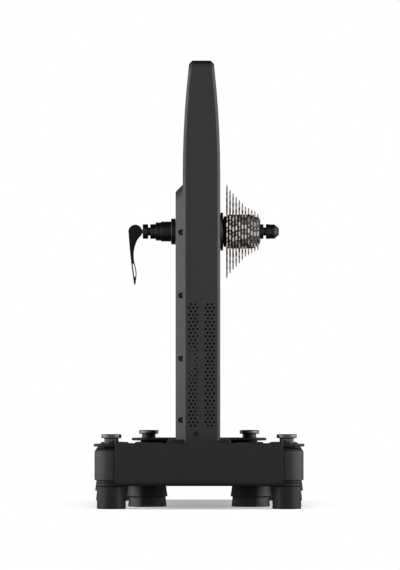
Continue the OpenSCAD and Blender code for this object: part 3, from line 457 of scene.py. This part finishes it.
def black_alloy():
    return finish("black_alloy", tuple(colours().black_alloy), 0.3, specular=0.3, surface="rings",
                  marks=3000.0, depth=0.012, spread=0.15, rub=0.3, rub_colour=(0.22, 0.22, 0.22))


def lever_paint():
    return finish("lever_paint", tuple(colours().black_alloy), 0.35, specular=0.1, marks=1800.0, depth=0.02,
                  spread=0.12, rub=0.3, rub_colour=(0.2, 0.2, 0.2))


def bright_steel():
    return finish("bright_steel", tuple(colours().bright_steel), 0.32, metallic=1.0, marks=1600.0, depth=0.01,
                  spread=0.1, rough_spread=0.1)


def black_steel():
    return finish("black_steel", (0.05, 0.05, 0.052), 0.42, metallic=1.0, marks=1600.0, depth=0.01,
                  spread=0.2, rough_spread=0.1, rub=0.4, rub_colour=(0.3, 0.3, 0.3))


def turned_steel():
    return finish("turned_steel", (0.4, 0.41, 0.42), 0.3, metallic=1.0, surface="rings", marks=2400.0,
                  depth=0.02, spread=0.15, height=FLYWHEEL_Z)


def ring_alloy():
    return finish("ring_alloy", (0.22, 0.223, 0.2), 0.4, metallic=1.0, surface="rings", marks=2200.0,
                  depth=0.02, spread=0.2)


def barrel_alloy():
    return finish("barrel_alloy", (0.02, 0.02, 0.019), 0.45, metallic=1.0, surface="rings", marks=2400.0,
                  depth=0.015, spread=0.15)


def axle_alloy():
    return finish("axle_alloy", (0.33, 0.33, 0.34), 0.34, metallic=1.0, surface="rings", marks=2600.0,
                  depth=0.015, spread=0.12)


def sprocket_nickel():
    return finish("sprocket_nickel", tuple(colours().sprocket), 0.26, metallic=1.0, marks=900.0, depth=0.008,
                  spread=0.14, rough_spread=0.1, rub=0.2, rub_colour=(0.85, 0.82, 0.8), drift=60.0)


# Darker nickel on the sides of the teeth: painted shade, not a different metal
def flank_nickel_painted_shade():
    return finish("flank_nickel_painted_shade", (0.52, 0.475, 0.44), 0.45, metallic=1.0, marks=1100.0, depth=0.012,
                  spread=0.3, rough_spread=0.15, drift=60.0)


# Darker nickel on the flat faces of the sprockets: painted shade that holds down the softboxes' reflection
def face_nickel_painted_shade():
    return finish("face_nickel_painted_shade", (0.26, 0.245, 0.235), 0.44, metallic=1.0, surface="rings", marks=1500.0,
                  depth=0.02, spread=0.25, rough_spread=0.12)


def spacer_plastic():
    return finish("spacer_plastic", tuple(colours().spacer), 0.5, surface="rings", marks=1800.0, depth=0.02,
                  spread=0.2)


def lockring_alloy():
    return finish("lockring_alloy", (0.07, 0.068, 0.064), 0.4, metallic=1.0, surface="rings", marks=2400.0,
                  depth=0.02, spread=0.2)


def frame_alloy():
    return finish("frame_alloy", (0.45, 0.46, 0.47), 0.42, metallic=1.0, marks=1200.0, depth=0.03, spread=0.1)


def skewer_steel():
    return finish("skewer_steel", (0.12, 0.12, 0.125), 0.35, metallic=1.0, surface="rings", marks=2000.0,
                  depth=0.02, spread=0.15)


def core_iron():
    return finish("core_iron", (0.09, 0.09, 0.095), 0.55, metallic=1.0, surface="rings", marks=1800.0,
                  depth=0.04, spread=0.25, height=FLYWHEEL_Z)


def coil_copper():
    return finish("coil_copper", tuple(colours().copper), 0.28, metallic=1.0, marks=1400.0, depth=0.05,
                  spread=0.3, coat=0.5)


def belt_rubber():
    return finish("belt_rubber", (0.012, 0.012, 0.0125), 0.6, specular=0.35, marks=1500.0, depth=0.05,
                  spread=0.2)


def board_laminate():
    return finish("board_laminate", tuple(colours().board), 0.35, marks=700.0, depth=0.02, spread=0.35)


def jack_plastic():
    return finish("jack_plastic", tuple(colours().cap), 0.4, marks=2600.0, depth=0.01, spread=0.1)


def lens_plastic():
    return finish("lens_plastic", (0.01, 0.01, 0.01), 0.15, marks=2600.0, depth=0.005, spread=0.1, coat=0.5)


# Meshes

def piece(name, mesh, body, material, replaces=()):
    """A finished mesh as an object of the scene, on its body, with the parts that it replaces hidden."""
    obj = bpy.data.objects.new(name, mesh)
    bpy.context.scene.collection.objects.link(obj)
    mesh.materials.clear()
    mesh.materials.append(material)
    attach(obj, body)
    if replaces:
        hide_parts(*replaces)
    return obj


def smooth_by_angle(mesh, degrees):
    """Smooth shading with the edges over an angle kept sharp."""
    mesh.shade_smooth()
    mesh.set_sharp_from_angle(angle=math.radians(degrees))


def with_modifiers(obj):
    """Applies an object's modifiers to its mesh."""
    graph = bpy.context.evaluated_depsgraph_get()
    made = bpy.data.meshes.new_from_object(obj.evaluated_get(graph))
    made.name = obj.name
    obj.modifiers.clear()
    obj.data = made
    return obj


def filleted(node, body, material, radius, segments=2, corner=35.0):
    """A copy of a CAD node with its edges rounded, shown in its place."""
    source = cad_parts[node].data
    work = bmesh.new()
    work.from_mesh(source)
    bmesh.ops.remove_doubles(work, verts=work.verts, dist=WELD)
    bmesh.ops.dissolve_limit(work, angle_limit=math.radians(FLAT_ANGLE), verts=work.verts, edges=work.edges)
    mesh = bpy.data.meshes.new(node + "_filleted")
    work.to_mesh(mesh)
    work.free()
    obj = piece(node + "_filleted", mesh, body, material, (node,))
    mesh.shade_smooth()
    bevel = obj.modifiers.new("fillet", "BEVEL")
    bevel.width = radius
    bevel.segments = segments
    bevel.limit_method = "ANGLE"
    bevel.angle_limit = math.radians(corner)
    bevel.use_clamp_overlap = True
    bevel.miter_outer = "MITER_ARC"
    weights = obj.modifiers.new("normals", "WEIGHTED_NORMAL")
    weights.keep_sharp = True
    return with_modifiers(obj)


def rounded_outline(points, radius, steps=3):
    """A closed outline of (radius, place) points with its corners rounded as far as its sides allow."""
    out = []
    count = len(points)
    for index in range(count):
        before = Vector(points[index - 1])
        corner = Vector(points[index])
        after = Vector(points[(index + 1) % count])
        reach = min(radius, (before - corner).length * CORNER_SHARE, (after - corner).length * CORNER_SHARE)
        if reach < WELD or corner.x < ON_AXIS:
            out.append(tuple(corner))
            continue
        start = corner + (before - corner).normalized() * reach
        stop = corner + (after - corner).normalized() * reach
        for step in range(steps + 1):
            share = step / steps
            first = start.lerp(corner, share)
            second = corner.lerp(stop, share)
            out.append(tuple(first.lerp(second, share)))
    return out


def turned(name, outline, centre, axis, segments=96, swell=None):
    """A closed outline of (radius, place) turned round an axis; swell gives each angle its own growth."""
    mesh = bpy.data.meshes.new(name)
    work = bmesh.new()
    rings = []
    for turn in range(segments):
        angle = 2 * math.pi * turn / segments
        ring = []
        for radius, place in outline:
            grown = radius + (swell(angle, radius, place) if swell else 0.0)
            across = (grown * math.cos(angle), grown * math.sin(angle))
            if axis == "X":
                point = (place, across[0], across[1])
            else:
                point = (across[0], across[1], place)
            ring.append(work.verts.new(Vector(centre) + Vector(point)))
        rings.append(ring)
    for turn in range(segments):
        here, there = rings[turn], rings[(turn + 1) % segments]
        for index in range(len(outline)):
            following = (index + 1) % len(outline)
            if outline[index][0] < ON_AXIS and outline[following][0] < ON_AXIS:
                continue
            work.faces.new([here[index], there[index], there[following], here[following]])
    bmesh.ops.remove_doubles(work, verts=work.verts, dist=ON_AXIS)
    bmesh.ops.recalc_face_normals(work, faces=work.faces)
    work.to_mesh(mesh)
    work.free()
    smooth_by_angle(mesh, 40.0)
    return mesh


def carried(nodes, material):
    """Gives CAD nodes that keep their shape a finish of their own."""
    for node in nodes:
        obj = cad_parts[node]
        obj.data.materials.clear()
        obj.data.materials.append(material)


# Operators, one for each group of pieces

class StageOperator:
    """What every operator here shares."""

    bl_options = {"REGISTER"}


class TRAINER_OT_studio(StageOperator, bpy.types.Operator):
    """Makes the camera, the softboxes, the room and the floor."""

    bl_idname = "trainer.studio"
    bl_label = "Studio"

    # Name, place, width and height of each softbox, in metres
    SOFTBOXES = (
        ("left_softbox", (-1.5, -0.25, 0.5), (2.2, 1.4)),
        ("right_softbox", (1.5, -0.25, 0.5), (2.2, 1.4)),
        ("top_softbox", (0.0, 0.0, 2.0), (1.2, 0.5)),
    )
    AIM_HEIGHT = 0.3
    # Stretches of a ray's rise and of its way along Y over which the room fades as gloss shows it
    FRONT_RISE = (0.5, 0.95)
    FRONT_WAY = (0.0, -0.9)
    BACK_RISE = (0.05, 0.3)
    BACK_WAY = (0.1, 0.6)
    # Floor in metres: its radius, the ring where its grey in gloss fades, and where it fades to white
    FLOOR_RADIUS = 3.0
    GLOSS_FADE = (0.35, 0.6)
    WHITE_FADE = (0.24, 0.38)
    # Factors on the floor's coordinates that make the white fade an oval
    OVAL_STRETCH = (2.0, 1.0, 1.0)

    def execute(self, context):
        settings = context.scene.trainer_studio
        self.make_camera(context, settings)
        self.make_lamps(context, settings)
        self.make_room(context, settings)
        self.make_floor(context, settings)
        context.scene.view_settings.view_transform = "Standard"
        return {"FINISHED"}

    def make_camera(self, context, settings):
        data = bpy.data.cameras.new("camera")
        data.lens = settings.lens
        data.sensor_width = 36.0
        data.sensor_fit = "AUTO"
        data.clip_end = 60.0
        camera = bpy.data.objects.new("camera", data)
        camera.location = (settings.camera_side, -settings.camera_distance, settings.camera_height)
        camera.rotation_euler = (math.radians(90.0), 0.0, 0.0)
        context.scene.collection.objects.link(camera)
        context.scene.camera = camera

    def make_lamps(self, context, settings):
        for name, place, size in self.SOFTBOXES:
            overhead = name == "top_softbox"
            lamp = bpy.data.lights.new(name, "AREA")
            lamp.shape = "RECTANGLE"
            lamp.size, lamp.size_y = size
            lamp.energy = settings.top_power if overhead else settings.side_power
            obj = bpy.data.objects.new(name, lamp)
            obj.location = place
            aim = Vector((0.0, 0.0, self.AIM_HEIGHT)) - Vector(place)
            obj.rotation_euler = aim.to_track_quat("-Z", "Y").to_euler()
            obj.visible_camera = False
            obj.visible_glossy = not overhead
            context.scene.collection.objects.link(obj)

    def make_room(self, context, settings):
        world = bpy.data.worlds.new("studio_room")
        context.scene.world = world
        world.use_nodes = True
        tree = world.node_tree
        tree.nodes.clear()
        ray = tree.nodes.new("ShaderNodeLightPath")
        share = math_node(tree, "MAXIMUM", ray.outputs["Is Camera Ray"], ray.outputs["Is Transmission Ray"])
        way = tree.nodes.new("ShaderNodeSeparateXYZ")
        tree.links.new(tree.nodes.new("ShaderNodeTexCoord").outputs["Generated"], way.inputs[0])
        rise = math_node(tree, "ABSOLUTE", way.outputs["Z"])
        front_light = (settings.room_gloss, settings.front_gloss)
        front = math_node(tree, "MULTIPLY", mapped(tree, rise, self.FRONT_RISE, (1.0, 0.0)),
                          mapped(tree, way.outputs["Y"], self.FRONT_WAY, front_light))
        back = math_node(tree, "MULTIPLY", mapped(tree, rise, self.BACK_RISE, (1.0, 0.0)),
                         mapped(tree, way.outputs["Y"], self.BACK_WAY, (0.0, settings.back_gloss)))
        gloss = math_node(tree, "ADD", front, back)
        shown = ray.outputs["Is Glossy Ray"]
        plain = math_node(tree, "MULTIPLY", math_node(tree, "SUBTRACT", 1.0, shown), settings.room)
        strength = math_node(tree, "ADD", math_node(tree, "MULTIPLY", shown, gloss), plain)
        room = tree.nodes.new("ShaderNodeBackground")
        room.inputs["Color"].default_value = (1.0, 1.0, 1.0, 1.0)
        tree.links.new(strength, room.inputs["Strength"])
        white = tree.nodes.new("ShaderNodeBackground")
        white.inputs["Color"].default_value = (1.0, 1.0, 1.0, 1.0)
        mix = tree.nodes.new("ShaderNodeMixShader")
        tree.links.new(share, mix.inputs["Fac"])
        tree.links.new(room.outputs[0], mix.inputs[1])
        tree.links.new(white.outputs[0], mix.inputs[2])
        out = tree.nodes.new("ShaderNodeOutputWorld")
        tree.links.new(mix.outputs[0], out.inputs["Surface"])

    def make_floor(self, context, settings):
        mesh = bpy.data.meshes.new("studio_floor")
        work = bmesh.new()
        bmesh.ops.create_circle(work, cap_ends=True, radius=self.FLOOR_RADIUS, segments=96)
        work.to_mesh(mesh)
        work.free()
        floor = bpy.data.objects.new("studio_floor", mesh)
        context.scene.collection.objects.link(floor)
        mesh.materials.append(self.floor_paper(settings))

    def floor_paper(self, settings):
        """Grey paper that keeps the trainer's shadow and is white further out."""
        material = bpy.data.materials.new("floor_paper")
        material.use_nodes = True
        tree = material.node_tree
        tree.nodes.clear()
        ray = tree.nodes.new("ShaderNodeLightPath")
        paper = tree.nodes.new("ShaderNodeBsdfDiffuse")
        place = tree.nodes.new("ShaderNodeTexCoord").outputs["Object"]
        wide = tree.nodes.new("ShaderNodeVectorMath")
        wide.operation = "MULTIPLY"
        wide.inputs[1].default_value = self.OVAL_STRETCH
        tree.links.new(place, wide.inputs[0])
        far = tree.nodes.new("ShaderNodeVectorMath")
        far.operation = "LENGTH"
        tree.links.new(place, far.inputs[0])
        oval = tree.nodes.new("ShaderNodeVectorMath")
        oval.operation = "LENGTH"
        tree.links.new(wide.outputs[0], oval.inputs[0])
        shown = ray.outputs["Is Glossy Ray"]
        greys = (settings.floor_gloss, settings.far_gloss)
        glossy = mapped(tree, far.outputs["Value"], self.GLOSS_FADE, greys)
        plain = math_node(tree, "MULTIPLY", math_node(tree, "SUBTRACT", 1.0, shown), settings.floor_tone)
        tree.links.new(math_node(tree, "ADD", math_node(tree, "MULTIPLY", shown, glossy), plain),
                       paper.inputs["Color"])
        lift = tree.nodes.new("ShaderNodeEmission")
        lift.inputs["Strength"].default_value = settings.floor_lift
        both = tree.nodes.new("ShaderNodeAddShader")
        tree.links.new(paper.outputs[0], both.inputs[0])
        tree.links.new(lift.outputs[0], both.inputs[1])
        seen = ray.outputs["Is Camera Ray"]
        near = tree.nodes.new("ShaderNodeMixShader")
        tree.links.new(seen, near.inputs["Fac"])
        tree.links.new(paper.outputs[0], near.inputs[1])
        tree.links.new(both.outputs[0], near.inputs[2])
        white = tree.nodes.new("ShaderNodeEmission")
        fade = mapped(tree, oval.outputs["Value"], self.WHITE_FADE)
        outer = tree.nodes.new("ShaderNodeMixShader")
        tree.links.new(math_node(tree, "MULTIPLY", fade, seen), outer.inputs["Fac"])
        tree.links.new(near.outputs[0], outer.inputs[1])
        tree.links.new(white.outputs[0], outer.inputs[2])
        out = tree.nodes.new("ShaderNodeOutputMaterial")
        tree.links.new(outer.outputs[0], out.inputs["Surface"])
        return material


class TRAINER_OT_tower(StageOperator, bpy.types.Operator):
    """Rounds the shells, the flywheel cover and the cap along the top, and finishes the screws."""

    bl_idname = "trainer.tower"
    bl_label = "Tower"

    def execute(self, context):
        radius = shapes().shell_fillet
        for node in ("left_shell", "right_shell", "flywheel_cover"):
            filleted(node, "stand", shell_plastic(), radius)
        filleted("top_cap", "stand", cap_plastic(), shapes().cap_fillet)
        carried(["shell_screws"], black_steel())
        return {"FINISHED"}


class TRAINER_OT_base(StageOperator, bpy.types.Operator):
    """Rounds the spine, the skirt, the end panels and the hinge plates, and finishes the bolts."""

    bl_idname = "trainer.base"
    bl_label = "Base"

    def execute(self, context):
        radius = shapes().coat_fillet
        for node in ("base_frame", "pedestal"):
            filleted(node, "stand", base_coat(), radius)
        for end in ENDS:
            filleted(end + "_panel", "stand", panel_coat(), radius)
            for level in ("top", "bottom"):
                filleted(f"{end}_{level}_plate", "stand", plate_coat(), radius)
        carried(["hinge_bolts", "frame_bolts"], bright_steel())
        return {"FINISHED"}


class TRAINER_OT_legs(StageOperator, bpy.types.Operator):
    """Rounds the folding legs."""

    bl_idname = "trainer.legs"
    bl_label = "Legs"

    def execute(self, context):
        for end in ENDS:
            for side in SIDES:
                leg = f"{end}_{side}_leg"
                filleted(leg, leg, leg_coat(), shapes().leg_fillet)
        return {"FINISHED"}


class TRAINER_OT_feet(StageOperator, bpy.types.Operator):
    """Rounds the rubber feet."""

    bl_idname = "trainer.feet"
    bl_label = "Feet"

    def execute(self, context):
        radius = shapes().rubber_fillet
        for end in ENDS:
            for side in SIDES:
                leg = f"{end}_{side}_leg"
                filleted(leg + "_foot", leg, foot_rubber(), radius)
                filleted(f"{end}_{side}_hinge_foot", "stand", foot_rubber(), radius)
        return {"FINISHED"}


class TRAINER_OT_knobs(StageOperator, bpy.types.Operator):
    """Makes the ridged mushroom knobs on the hinges."""

    bl_idname = "trainer.knobs"
    bl_label = "Knobs"

    # Radii of the bore over the bolt and of the neck, and the height of the head
    BORE = 6.1 * MM
    NECK = 8.5 * MM
    HEAD = 4.5 * MM
    # Width of the flat lip round the top, and depth of the grip that the ridges cover
    LIP = 3.0 * MM
    GRIP = 0.9 * MM
    # Chamfers, of which the one under the head is the smaller, and the radius of their corners
    EDGE = 0.5 * MM
    LOWER_EDGE = 0.4 * MM
    CORNER = 0.25 * MM
    RIDGE_POINTS = 8
    RIDGE_POWER = 3
    # Least upward part of the normal on a face of the top
    LEVEL = 0.9

    def execute(self, context):
        for end in ENDS:
            for side in SIDES:
                self.make_knob(f"{end}_{side}_knob")
        return {"FINISHED"}

    def make_knob(self, node):
        low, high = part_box(node)
        centre = (low + high) / 2
        centre.z = low.z
        rim = (high.x - low.x) / 2
        top = high.z - low.z
        under = top - self.HEAD
        dish = rim - self.LIP - self.EDGE
        outline = rounded_outline([
            (self.BORE, 0.0), (self.NECK, 0.0), (self.NECK, under - self.EDGE),
            (self.NECK + self.EDGE, under), (rim - self.LOWER_EDGE, under), (rim, under + self.LOWER_EDGE),
            (rim, top - self.EDGE), (rim - self.EDGE, top), (rim - self.LIP, top),
            (dish, top - self.EDGE), (0.0, top - self.EDGE),
            (0.0, under + self.EDGE), (self.BORE, under + self.EDGE),
        ], self.CORNER)
        ridge = shapes().knob_ridge
        count = shapes().knob_ridges

        def swell(angle, radius, place):
            if radius < rim - self.GRIP:
                return 0.0
            return -ridge * (0.5 + 0.5 * math.cos(count * angle)) ** self.RIDGE_POWER

        mesh = turned(node + "_turned", outline, centre, "Z", count * self.RIDGE_POINTS, swell)
        piece(node + "_turned", mesh, node, knob_plastic(), (node,))
        mesh.materials.append(knob_top())
        for face in mesh.polygons:
            if face.normal.z > self.LEVEL:
                face.material_index = 1


class TRAINER_OT_axle_ends(StageOperator, bpy.types.Operator):
    """Rounds the end caps, the locknut and the ring, and finishes the axle."""

    bl_idname = "trainer.axle_ends"
    bl_label = "Axle ends"

    def execute(self, context):
        radius = shapes().turned_fillet
        for node in ("axle_locknut", "left_end_cap", "right_end_cap"):
            filleted(node, "stand", black_alloy(), radius)
        filleted("axle_ring", "stand", ring_alloy(), radius)
        carried(["axle"], axle_alloy())
        return {"FINISHED"}


class TRAINER_OT_cassette(StageOperator, bpy.types.Operator):
    """Makes the sprockets with chamfered teeth, and finishes what carries them."""

    bl_idname = "trainer.cassette"
    bl_label = "Cassette"

    TEETH = (28, 25, 23, 21, 19, 17, 15, 14, 13, 12, 11)
    PITCH = 12.7 * MM
    # Angles in degrees of the first sprocket and from each one to the next
    FIRST_TURN = 248.75
    TURN_STEP = 26.6
    # Gap between two teeth: its depth under the pitch circle, half its width and the radius of its corners
    SEAT_DEPTH = 3.9 * MM
    SEAT_HALF = 2.7 * MM
    SEAT_ARC = 0.4 * MM
    # Tip of a tooth: its height over the pitch circle, its width and its edge, which is wider by a factor
    TOOTH = -0.2 * MM
    TIP_WIDTH = 2.0 * MM
    TIP_EDGE = 0.3 * MM
    TIP_FLARE = 1.15
    # Thickness of a sprocket, how far its taper reaches in from the tips, and its rim under the gaps
    THICKNESS = 1.8 * MM
    TAPER = 1.8 * MM
    RIM = 1.2 * MM
    # Bore, its splines and the least flat ring round it; a spline stands where a cosine is over its level
    BORE = 17.3 * MM
    BORE_RING = 1.0 * MM
    SPLINES = 9
    SPLINE_DEPTH = 1.4 * MM
    SPLINE_LEVEL = 0.82
    # Parts of a normal: the least along the axle on a flat face, and those outwards on a tooth's side; faces
    # past them get darker nickel as painted shade
    PAINTED_SHADE_FACE_LEAN = 0.5
    PAINTED_SHADE_FLANK_LEAN = (0.1, 0.8)
    SEAL_BORE = 10.5 * MM
    SEAL_LIP = 18.0 * MM
    SEAL_EDGE = 0.6 * MM
    SEAL_GAP = 0.3 * MM
    LOCKRING_FILLET = 0.12 * MM

    def execute(self, context):
        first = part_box("sprockets")[0].x
        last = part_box("sprockets")[1].x - self.THICKNESS
        step = (last - first) / (len(self.TEETH) - 1)
        work = bmesh.new()
        for index, teeth in enumerate(self.TEETH):
            turn = math.radians(self.FIRST_TURN + index * self.TURN_STEP)
            self.add_sprocket(work, teeth, first + index * step, turn)
        bmesh.ops.recalc_face_normals(work, faces=work.faces)
        mesh = bpy.data.meshes.new("sprockets_chamfered")
        work.to_mesh(mesh)
        work.free()
        smooth_by_angle(mesh, 25.0)
        piece("sprockets_chamfered", mesh, "cassette", sprocket_nickel(), ("sprockets",))
        # The second and third finishes are darker nickel: painted shade on the sides of the teeth and on the
        # flat faces
        mesh.materials.append(flank_nickel_painted_shade())
        mesh.materials.append(face_nickel_painted_shade())
        self.mark_painted_shade(mesh)
        carried(["spacers"], spacer_plastic())
        carried(["freehub_body"], barrel_alloy())
        self.make_seal()
        filleted("lockring", "cassette", lockring_alloy(), self.LOCKRING_FILLET)
        return {"FINISHED"}

    def make_seal(self):
        """Makes the dark seal between the ring and the freehub."""
        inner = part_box("axle_ring")[1].x + self.SEAL_GAP
        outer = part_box("freehub_body")[0].x
        outline = [
            (self.SEAL_BORE, inner), (self.SEAL_LIP - self.SEAL_EDGE, inner),
            (self.SEAL_LIP, inner + self.SEAL_EDGE), (self.SEAL_LIP, outer), (self.SEAL_BORE, outer),
        ]
        mesh = turned("freehub_seal", outline, (0.0, 0.0, AXLE_Z), "X")
        piece("freehub_seal", mesh, "cassette", belt_rubber())

    def mark_painted_shade(self, mesh):
        """Paints shade on the sprockets: the sides of the teeth get the second finish, darker nickel, and the
        flat faces the third, darker still.
        """
        least, most = self.PAINTED_SHADE_FLANK_LEAN
        for face in mesh.polygons:
            out = face.center - Vector((0.0, 0.0, AXLE_Z))
            out.x = 0.0
            lean = face.normal.dot(out.normalized())
            if abs(face.normal.x) > self.PAINTED_SHADE_FACE_LEAN:
                face.material_index = 2
            elif least < lean < most:
                face.material_index = 1

    def tooth_outline(self, teeth):
        """Radius and angle of points round one tooth, from the middle of one gap to the next."""
        pitch = self.PITCH / (2 * math.sin(math.pi / teeth))
        tip = pitch + self.TOOTH
        half = math.pi / teeth
        top = self.TIP_WIDTH / 2 / tip
        floor = pitch - self.SEAT_DEPTH
        seat = []
        for share in (0.0, 0.5, 1.0):
            x, y = floor, (self.SEAT_HALF - self.SEAT_ARC) * share
            seat.append((math.hypot(x, y), math.atan2(y, x)))
        for degrees in (30, 60):
            x = floor + self.SEAT_ARC * (1 - math.cos(math.radians(degrees)))
            y = self.SEAT_HALF - self.SEAT_ARC * (1 - math.sin(math.radians(degrees)))
            seat.append((math.hypot(x, y), math.atan2(y, x)))
        left = seat + [(tip - self.TIP_EDGE, half - self.TIP_FLARE * top), (tip, half - top)]
        right = [(radius, 2 * half - angle) for radius, angle in reversed(left)]
        return left + right[:-1], pitch

    def add_sprocket(self, work, teeth, start, turn):
        """Adds one sprocket, from its side nearest to the tower."""
        profile, pitch = self.tooth_outline(teeth)
        inner = max(self.BORE + self.BORE_RING, pitch - self.SEAT_DEPTH - self.RIM)
        half = self.THICKNESS / 2
        thin = half - shapes().tooth_chamfer
        rings = []
        for tooth in range(teeth):
            for radius, angle in profile:
                place = turn + angle + 2 * math.pi * tooth / teeth
                spline = math.cos(self.SPLINES * (place - turn)) > self.SPLINE_LEVEL
                bore = self.BORE - (self.SPLINE_DEPTH if spline else 0.0)
                high = min(1.0, max(0.0, (radius - pitch - self.TOOTH + self.TAPER) / self.TAPER))
                width = half + (thin - half) * high
                section = [
                    (bore, -half), (inner, -half), (radius, -width),
                    (radius, width), (inner, half), (bore, half),
                ]
                ring = []
                for distance, along in section:
                    ring.append(work.verts.new((
                        start + half + along,
                        distance * math.cos(place),
                        AXLE_Z + distance * math.sin(place),
                    )))
                rings.append(ring)
        for index, ring in enumerate(rings):
            following = rings[(index + 1) % len(rings)]
            for corner in range(len(ring)):
                after = (corner + 1) % len(ring)
                work.faces.new([ring[corner], following[corner], following[after], ring[after]])


class TRAINER_OT_quick_release(StageOperator, bpy.types.Operator):
    """Rounds the lever, the cup and the nut, and finishes the rod and its pin."""

    bl_idname = "trainer.quick_release"
    bl_label = "Quick release"

    # Lever: steps round its fillet, and the angle in degrees from which an edge gets one
    LEVER_STEPS = 3
    LEVER_CORNER = 25.0
    # Nut: radii of its bore and tip, lengths of its collar, shoulder and cone, and the wall over its bore
    NUT_BORE = 2.5 * MM
    NUT_TIP = 4.2 * MM
    NUT_COLLAR = 4.4 * MM
    NUT_SHOULDER = 2.0 * MM
    NUT_CONE = 5.5 * MM
    NUT_ROOF = 1.0 * MM
    NUT_EDGE = 0.4 * MM
    NUT_CORNER = 0.3 * MM
    FLUTES = 8
    FLUTE_DEPTH = 0.9 * MM
    FLUTE_POWER = 2
    # Slack by which the flutes take in the end of the collar and the tip
    FLUTE_SLACK = 0.2 * MM

    def execute(self, context):
        filleted("qr_lever", "lever", lever_paint(), shapes().lever_fillet,
                 self.LEVER_STEPS, self.LEVER_CORNER)
        radius = shapes().turned_fillet
        filleted("cam_cup", "skewer", black_alloy(), radius)
        self.make_nut()
        carried(["skewer_rod"], skewer_steel())
        carried(["cam_pin"], lever_paint())
        return {"FINISHED"}

    def make_nut(self):
        """Makes the nut, plain at its collar and fluted from there to its tip."""
        low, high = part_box("qr_nut")
        rim = (high.z - low.z) / 2
        collar = low.x + self.NUT_COLLAR
        cone = high.x - self.NUT_CONE
        roof = cone + self.NUT_ROOF
        outline = rounded_outline([
            (self.NUT_BORE, low.x), (rim - self.NUT_EDGE, low.x), (rim, low.x + self.NUT_EDGE), (rim, collar),
            (rim, cone - self.NUT_SHOULDER), (rim, cone), ((rim + self.NUT_TIP) / 2, (cone + high.x) / 2),
            (self.NUT_TIP, high.x), (0.0, high.x), (0.0, roof), (self.NUT_BORE, roof),
        ], self.NUT_CORNER)

        def swell(angle, radius, place):
            if place <= collar - self.FLUTE_SLACK or radius <= self.NUT_TIP - self.FLUTE_SLACK:
                return 0.0
            return -self.FLUTE_DEPTH * (0.5 + 0.5 * math.cos(self.FLUTES * angle)) ** self.FLUTE_POWER

        mesh = turned("qr_nut_fluted", outline, (0.0, 0.0, AXLE_Z), "X", swell=swell)
        piece("qr_nut_fluted", mesh, "nut", black_alloy(), ("qr_nut",))


class TRAINER_OT_drive(StageOperator, bpy.types.Operator):
    """Finishes the flywheel, the brake, the belt, the pulleys and their bearings."""

    bl_idname = "trainer.drive"
    bl_label = "Drive and brake"

    def execute(self, context):
        carried(["flywheel", "flywheel_shaft", "flywheel_pulley"], turned_steel())
        carried(["drive_pulley", "frame_plate"], frame_alloy())
        carried(["flywheel_bearings", "drive_bearings", "freehub_bearings"], bright_steel())
        carried(["brake_core"], core_iron())
        carried(["brake_coils"], coil_copper())
        carried(["drive_belt"], belt_rubber())
        return {"FINISHED"}


class TRAINER_OT_electrics(StageOperator, bpy.types.Operator):
    """Finishes the board, the power jack and the status lens."""

    bl_idname = "trainer.electrics"
    bl_label = "Electrics"

    def execute(self, context):
        carried(["circuit_board"], board_laminate())
        carried(["power_jack"], jack_plastic())
        carried(["status_lens"], lens_plastic())
        return {"FINISHED"}


class TRAINER_PT_sidebar(bpy.types.Panel):
    """Lists the settings and the operators in the sidebar."""

    bl_label = "Trainer"
    bl_space_type = "VIEW_3D"
    bl_region_type = "UI"
    bl_category = "Trainer"

    def draw(self, context):
        layout = self.layout
        for group in ("trainer_studio", "trainer_shapes", "trainer_colours"):
            settings = getattr(context.scene, group)
            box = layout.box()
            for key in settings.bl_rna.properties.keys():
                if key not in ("rna_type", "name"):
                    box.prop(settings, key)
        for operator in OPERATORS:
            layout.operator(operator.bl_idname)


SETTINGS = {
    "trainer_shapes": TrainerShapes,
    "trainer_colours": TrainerColours,
    "trainer_studio": TrainerStudio,
}
OPERATORS = (
    TRAINER_OT_studio,
    TRAINER_OT_tower,
    TRAINER_OT_base,
    TRAINER_OT_legs,
    TRAINER_OT_feet,
    TRAINER_OT_knobs,
    TRAINER_OT_axle_ends,
    TRAINER_OT_cassette,
    TRAINER_OT_quick_release,
    TRAINER_OT_drive,
    TRAINER_OT_electrics,
)


def register():
    """Adds the settings, the operators and the panel."""
    for name, group in SETTINGS.items():
        bpy.utils.register_class(group)
        setattr(bpy.types.Scene, name, bpy.props.PointerProperty(type=group))
    for operator in OPERATORS:
        bpy.utils.register_class(operator)
    bpy.utils.register_class(TRAINER_PT_sidebar)


def unregister():
    """Takes them away again."""
    bpy.utils.unregister_class(TRAINER_PT_sidebar)
    for operator in reversed(OPERATORS):
        bpy.utils.unregister_class(operator)
    for name, group in SETTINGS.items():
        delattr(bpy.types.Scene, name)
        bpy.utils.unregister_class(group)


def main():
    """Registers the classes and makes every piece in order."""
    register()
    for operator in OPERATORS:
        section, name = operator.bl_idname.split(".")
        getattr(getattr(bpy.ops, section), name)()


if __name__ == "__main__":
    main()
